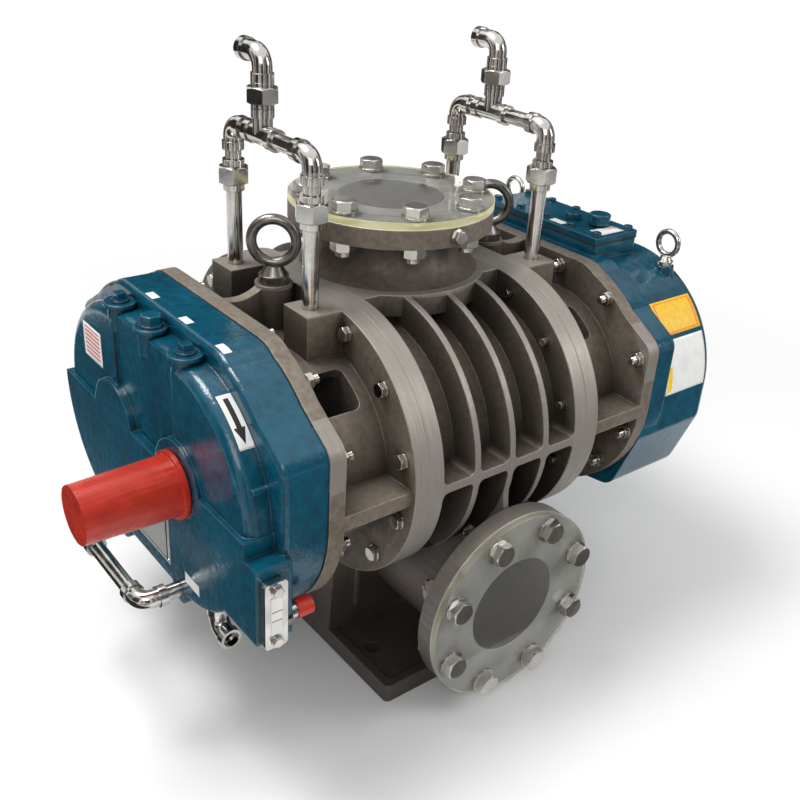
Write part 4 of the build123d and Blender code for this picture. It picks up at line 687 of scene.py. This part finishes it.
def ruled_print(tree, u, v):
    """A block of ruled lines."""
    block = calculate(tree, "MULTIPLY", inside(tree, u, 0.10, 0.90), inside(tree, v, 0.08, 0.92))
    wave = calculate(tree, "FRACT", calculate(tree, "MULTIPLY", v, 8.0))
    return calculate(tree, "MULTIPLY", block, calculate(tree, "LESS_THAN", wave, 0.46))


def arrow_print(tree, u, v):
    """A thick arrow that points down the label."""
    aside = calculate(tree, "ABSOLUTE", calculate(tree, "SUBTRACT", u, 0.5))
    narrow = calculate(tree, "LESS_THAN", aside, 0.17)
    shaft = calculate(tree, "MULTIPLY", narrow, inside(tree, v, 0.36, 0.92))
    slope = calculate(tree, "MULTIPLY", calculate(tree, "SUBTRACT", v, 0.08), 1.30)
    pointed = calculate(tree, "LESS_THAN", aside, slope)
    head = calculate(tree, "MULTIPLY", pointed, inside(tree, v, 0.08, 0.37))
    return calculate(tree, "MAXIMUM", shaft, head)


def strip_print(tree, u, v):
    """A band down the label's left side."""
    return calculate(tree, "MULTIPLY", inside(tree, u, 0.04, 0.15), inside(tree, v, 0.05, 0.52))


def blank_print(tree, u, v):
    """Nothing printed."""
    return calculate(tree, "MULTIPLY", u, 0.0)


def label_material(name, film, ink, pattern, metallic=0.0, roughness=0.38):
    """Printed film or plate: slightly wavy, slightly soiled, with a pattern in ink."""
    material, tree = new_material(name)
    print_place = add(tree, "ShaderNodeUVMap", uv_map="print").outputs["UV"]
    axes = add(tree, "ShaderNodeSeparateXYZ", {"Vector": print_place}).outputs
    place = here(tree)
    soil = spread(tree, noise(tree, place, 55.0, 5.0), 0.45, 0.75, 0.0, 0.30)
    tone = mix_colour(tree, soil, film, tuple(0.62 * part for part in film[:3]) + (1,))
    tone = mix_colour(tree, pattern(tree, axes["X"], axes["Y"]), tone, ink)
    rough = spread(tree, noise(tree, place, 140.0), 0.3, 0.7, roughness - 0.06, roughness + 0.10)
    bump = add(tree, "ShaderNodeBump", {"Height": noise(tree, place, 90.0, 2.0), "Distance": 0.0006,
                                        "Strength": 0.5})
    shader = add(tree, "ShaderNodeBsdfPrincipled", {
        "Base Color": tone, "Metallic": metallic, "Roughness": rough, "Normal": bump.outputs["Normal"]})
    finish_material(tree, shader)
    return material


# %% [markdown]
# Each label needs only its place, the way it faces, its size and its film. On the round shoulders the place
# comes from an angle about the shaft, so the label stays on the curve if its angle is changed.

# %% The labels themselves
WHITE = (0.80, 0.80, 0.78, 1)
BLACK = (0.012, 0.012, 0.012, 1)
RED_INK = (0.55, 0.05, 0.03, 1)
arrow_film = label_material("arrow label", WHITE, BLACK, arrow_print)
plain_film = label_material("white tag", WHITE, BLACK, blank_print)
ruled_film = label_material("red ruled label", WHITE, RED_INK, ruled_print)
framed_film = label_material("red framed label", WHITE, RED_INK, frame_print)
yellow_film = label_material("yellow label", (0.84, 0.50, 0.022, 1), (0.80, 0.16, 0.02, 1), frame_print,
                             roughness=0.25)
strip_film = label_material("white label with a yellow strip", WHITE, (0.86, 0.58, 0.02, 1), strip_print)
bare_plate = label_material("bare plate", (0.60, 0.60, 0.58, 1), BLACK, frame_print, metallic=0.6)



def round_the_case(radius, angle, x):
    """A place on the outlet side's lobe, in millimetres, at an angle from +Y; also its out and up directions."""
    out = Vector((0.0, cos(radians(angle)), sin(radians(angle))))
    place = Vector((x, -HALF_CENTRES * 1000, SHAFT_HEIGHT * 1000)) + out * radius
    return place, out, Vector((0.0, out.z, -out.y))


PLATE_HEIGHT = 258
PLATE_SIZE = (130, 74)
place, out, up = round_the_case(162, 128.5, -355)
stick("rotation_arrow", "drive_cover", place, out, up, (19, 70), arrow_film, 24)
for number, y in enumerate((58, -35, -128)):
    stick(f"plug_tag_{number}", "drive_cover", (-332, y, 547), (0, 0, 1), (-1, 0, 0), (22, 11), plain_film)
front, top = (-1, 0, 0), (0, 0, 1)
stick("front_label", "drive_cover", (-379, 158, 451), front, top, (60, 50), ruled_film)
stick("name_plate", "drive_cover", (-385, 0, PLATE_HEIGHT), front, top, PLATE_SIZE, bare_plate)
stick("drain_tag", "drive_cover", (-385, -126, 230), front, top, (38, 16), plain_film)
place, out, up = round_the_case(178, 140.5, 376)
stick("yellow_label", "gear_case", place, out, up, (92, 54), yellow_film, 20)
place, out, up = round_the_case(178, 165, 376)
stick("white_label", "gear_case", place, out, up, (92, 84), strip_film, 20)
stick("lid_label", "gear_case_lid", (348, -99, 575), top, (0, 1, 0), (50, 26), framed_film)
stick("lid_tag", "gear_case_lid", (314, -28, 575), top, (0, 1, 0), (14, 28), plain_film)
last = bpy.context.scene.objects["lid_tag"]
print("labels placed, the last at", [round(value, 3) for value in last.bound_box[0]])

# %% [markdown]
# ## Small turned fittings
#
# Thread ends, rivets and collars are all shapes that a lathe makes: an outline swung round an axis. One
# function turns any outline and sets copies of it wherever they belong. The thread is rings and not a true
# helix, because at this size nobody can tell. The places of the screws come from the CAD pieces themselves:
# each loose island of a mesh is one screw.

# %% Turned pieces


def islands(node):
    """The lowest and highest corner of each separate solid in a CAD piece."""
    shape = bmesh.new()
    shape.from_mesh(nodes[node].data)
    bmesh.ops.remove_doubles(shape, verts=shape.verts, dist=1e-6)
    waiting, found = set(shape.verts), []
    while waiting:
        edge_of_search = [waiting.pop()]
        island = list(edge_of_search)
        while edge_of_search:
            corner = edge_of_search.pop()
            for line in corner.link_edges:
                other = line.other_vert(corner)
                if other in waiting:
                    waiting.remove(other)
                    edge_of_search.append(other)
                    island.append(other)
        low = Vector([min(corner.co[axis] for corner in island) for axis in range(3)])
        high = Vector([max(corner.co[axis] for corner in island) for axis in range(3)])
        found.append((low, high))
    shape.free()
    return found


def turned(name, outline, places, material, steps=40):
    """One object that holds a turned shape at each (origin, axis); the outline is (radius, height) in mm."""
    shape = bmesh.new()
    for origin, axis in places:
        tilt = Vector(axis).to_track_quat("Z", "Y").to_matrix().to_4x4()
        stand = Matrix.Translation(origin) @ tilt
        rings = []
        for radius, height in outline:
            if radius == 0:
                rings.append([shape.verts.new(stand @ Vector((0, 0, height / 1000)))])
                continue
            rings.append([shape.verts.new(stand @ Vector((radius / 1000 * cos(2 * pi * step / steps),
                                                          radius / 1000 * sin(2 * pi * step / steps),
                                                          height / 1000))) for step in range(steps)])
        for lower, upper in zip(rings, rings[1:]):
            for step in range(steps):
                after = (step + 1) % steps
                if len(lower) == 1:
                    shape.faces.new((lower[0], upper[after], upper[step]))
                elif len(upper) == 1:
                    shape.faces.new((lower[step], lower[after], upper[0]))
                else:
                    shape.faces.new((lower[step], lower[after], upper[after], upper[step]))
    bmesh.ops.recalc_face_normals(shape, faces=shape.faces)
    mesh = bpy.data.meshes.new(name)
    shape.to_mesh(mesh)
    shape.free()
    mesh.shade_smooth()
    mesh.set_sharp_from_angle(angle=radians(32))
    mesh.materials.append(material)
    piece = bpy.data.objects.new(name, mesh)
    bpy.context.scene.collection.objects.link(piece)
    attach(piece, housing)
    return piece


def thread_outline(radius, pitch, length):
    """A threaded end: rings of thread on a core, then a chamfered point."""
    core, points, height = radius - 0.55 * pitch, [(0, -1.0), (radius - 0.55 * pitch, -1.0)], 0.0
    while height + pitch < length:
        points += [(core, height), (radius, height + 0.5 * pitch)]
        height += pitch
    return points + [(core, length - 0.6), (core - 0.8, length), (0, length)]


ends = []
for low, high in islands("cover_screws"):
    inward = 1 if high.x < 0 else -1
    nose = high.x if inward > 0 else low.x
    ends.append((Vector((nose, (low.y + high.y) / 2, (low.z + high.z) / 2)), (inward, 0, 0)))
turned("cover_stud_ends", thread_outline(6.0, 1.75, 9.0), ends, zinc)
print(len(ends), "threaded ends behind the cover screws")

# %% [markdown]
# The same function makes the painted collars on which the three top plugs sit, and the domed rivets at the
# corners of the bare plate.

# %% Collars under the top plugs, and rivets of the bare plate
PLUG_ROW_X = -0.362
PLUG_ROW_Y = (-0.092, 0.0, 0.092)
PAD_TOP = 0.534
RIVET_INSET = 5
RIVET_X = -0.3855
collar = [(0, -6), (21, -6), (22, -5), (22, -0.5), (21, 0.4), (15.5, 0.4), (15, -0.2), (0, -0.2)]
turned("plug_collars", collar, [(Vector((PLUG_ROW_X, y, PAD_TOP)), (0, 0, 1)) for y in PLUG_ROW_Y], enamel)
rivet = [(0, -1.5), (2.6, -1.5), (2.6, 0.3), (2.2, 1.1), (1.3, 1.6), (0, 1.8)]
aside, above = ((size / 2 - RIVET_INSET) / 1000 for size in PLATE_SIZE)
centre = PLATE_HEIGHT / 1000
corners = [(y, z) for y in (-aside, aside) for z in (centre - above, centre + above)]
turned("plate_rivets", rivet, [(Vector((RIVET_X, y, z)), (-1, 0, 0)) for y, z in corners], stainless, 20)
print("collars and", len(corners), "rivets turned")

# %% [markdown]
# ## Level gauge
#
# The gauge is a metal frame round a strip of glass with a white scale behind it and two red marks between
# which the oil should stand. Its glass takes a milky finish that shows the scale's white, and the marks are
# thin raised strips.

# %% Gauge glass and marks
MARK_WIDTH = 0.0135
MARK_HEIGHT = 0.0011
milky = moulded_material("milky sight glass", (0.62, 0.63, 0.60, 1), (0.78, 0.79, 0.76, 1), 0.16, 60.0)
dress("level_gauge_glass", milky)
glass_low, glass_high = (Vector(corner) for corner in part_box("level_gauge_glass"))
marks = bmesh.new()
for share in (0.38, 0.62):
    level = glass_low.z + share * (glass_high.z - glass_low.z)
    size = Vector((MARK_WIDTH, 0.0006, MARK_HEIGHT))
    middle_of_mark = Vector(((glass_low.x + glass_high.x) / 2, glass_low.y, level))
    bmesh.ops.create_cube(marks, matrix=Matrix.LocRotScale(middle_of_mark, None, size))
bmesh.ops.bevel(marks, geom=marks.edges[:], offset=0.0001, segments=1, affect="EDGES")
mesh = bpy.data.meshes.new("gauge_marks")
marks.to_mesh(mesh)
marks.free()
mesh.materials.append(moulded_material("red mark", (0.45, 0.02, 0.015, 1), (0.58, 0.03, 0.02, 1), 0.4))
gauge_marks = bpy.data.objects.new("gauge_marks", mesh)
bpy.context.scene.collection.objects.link(gauge_marks)
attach(gauge_marks, housing)
print("gauge marks between", round(glass_low.z, 3), "and", round(glass_high.z, 3))
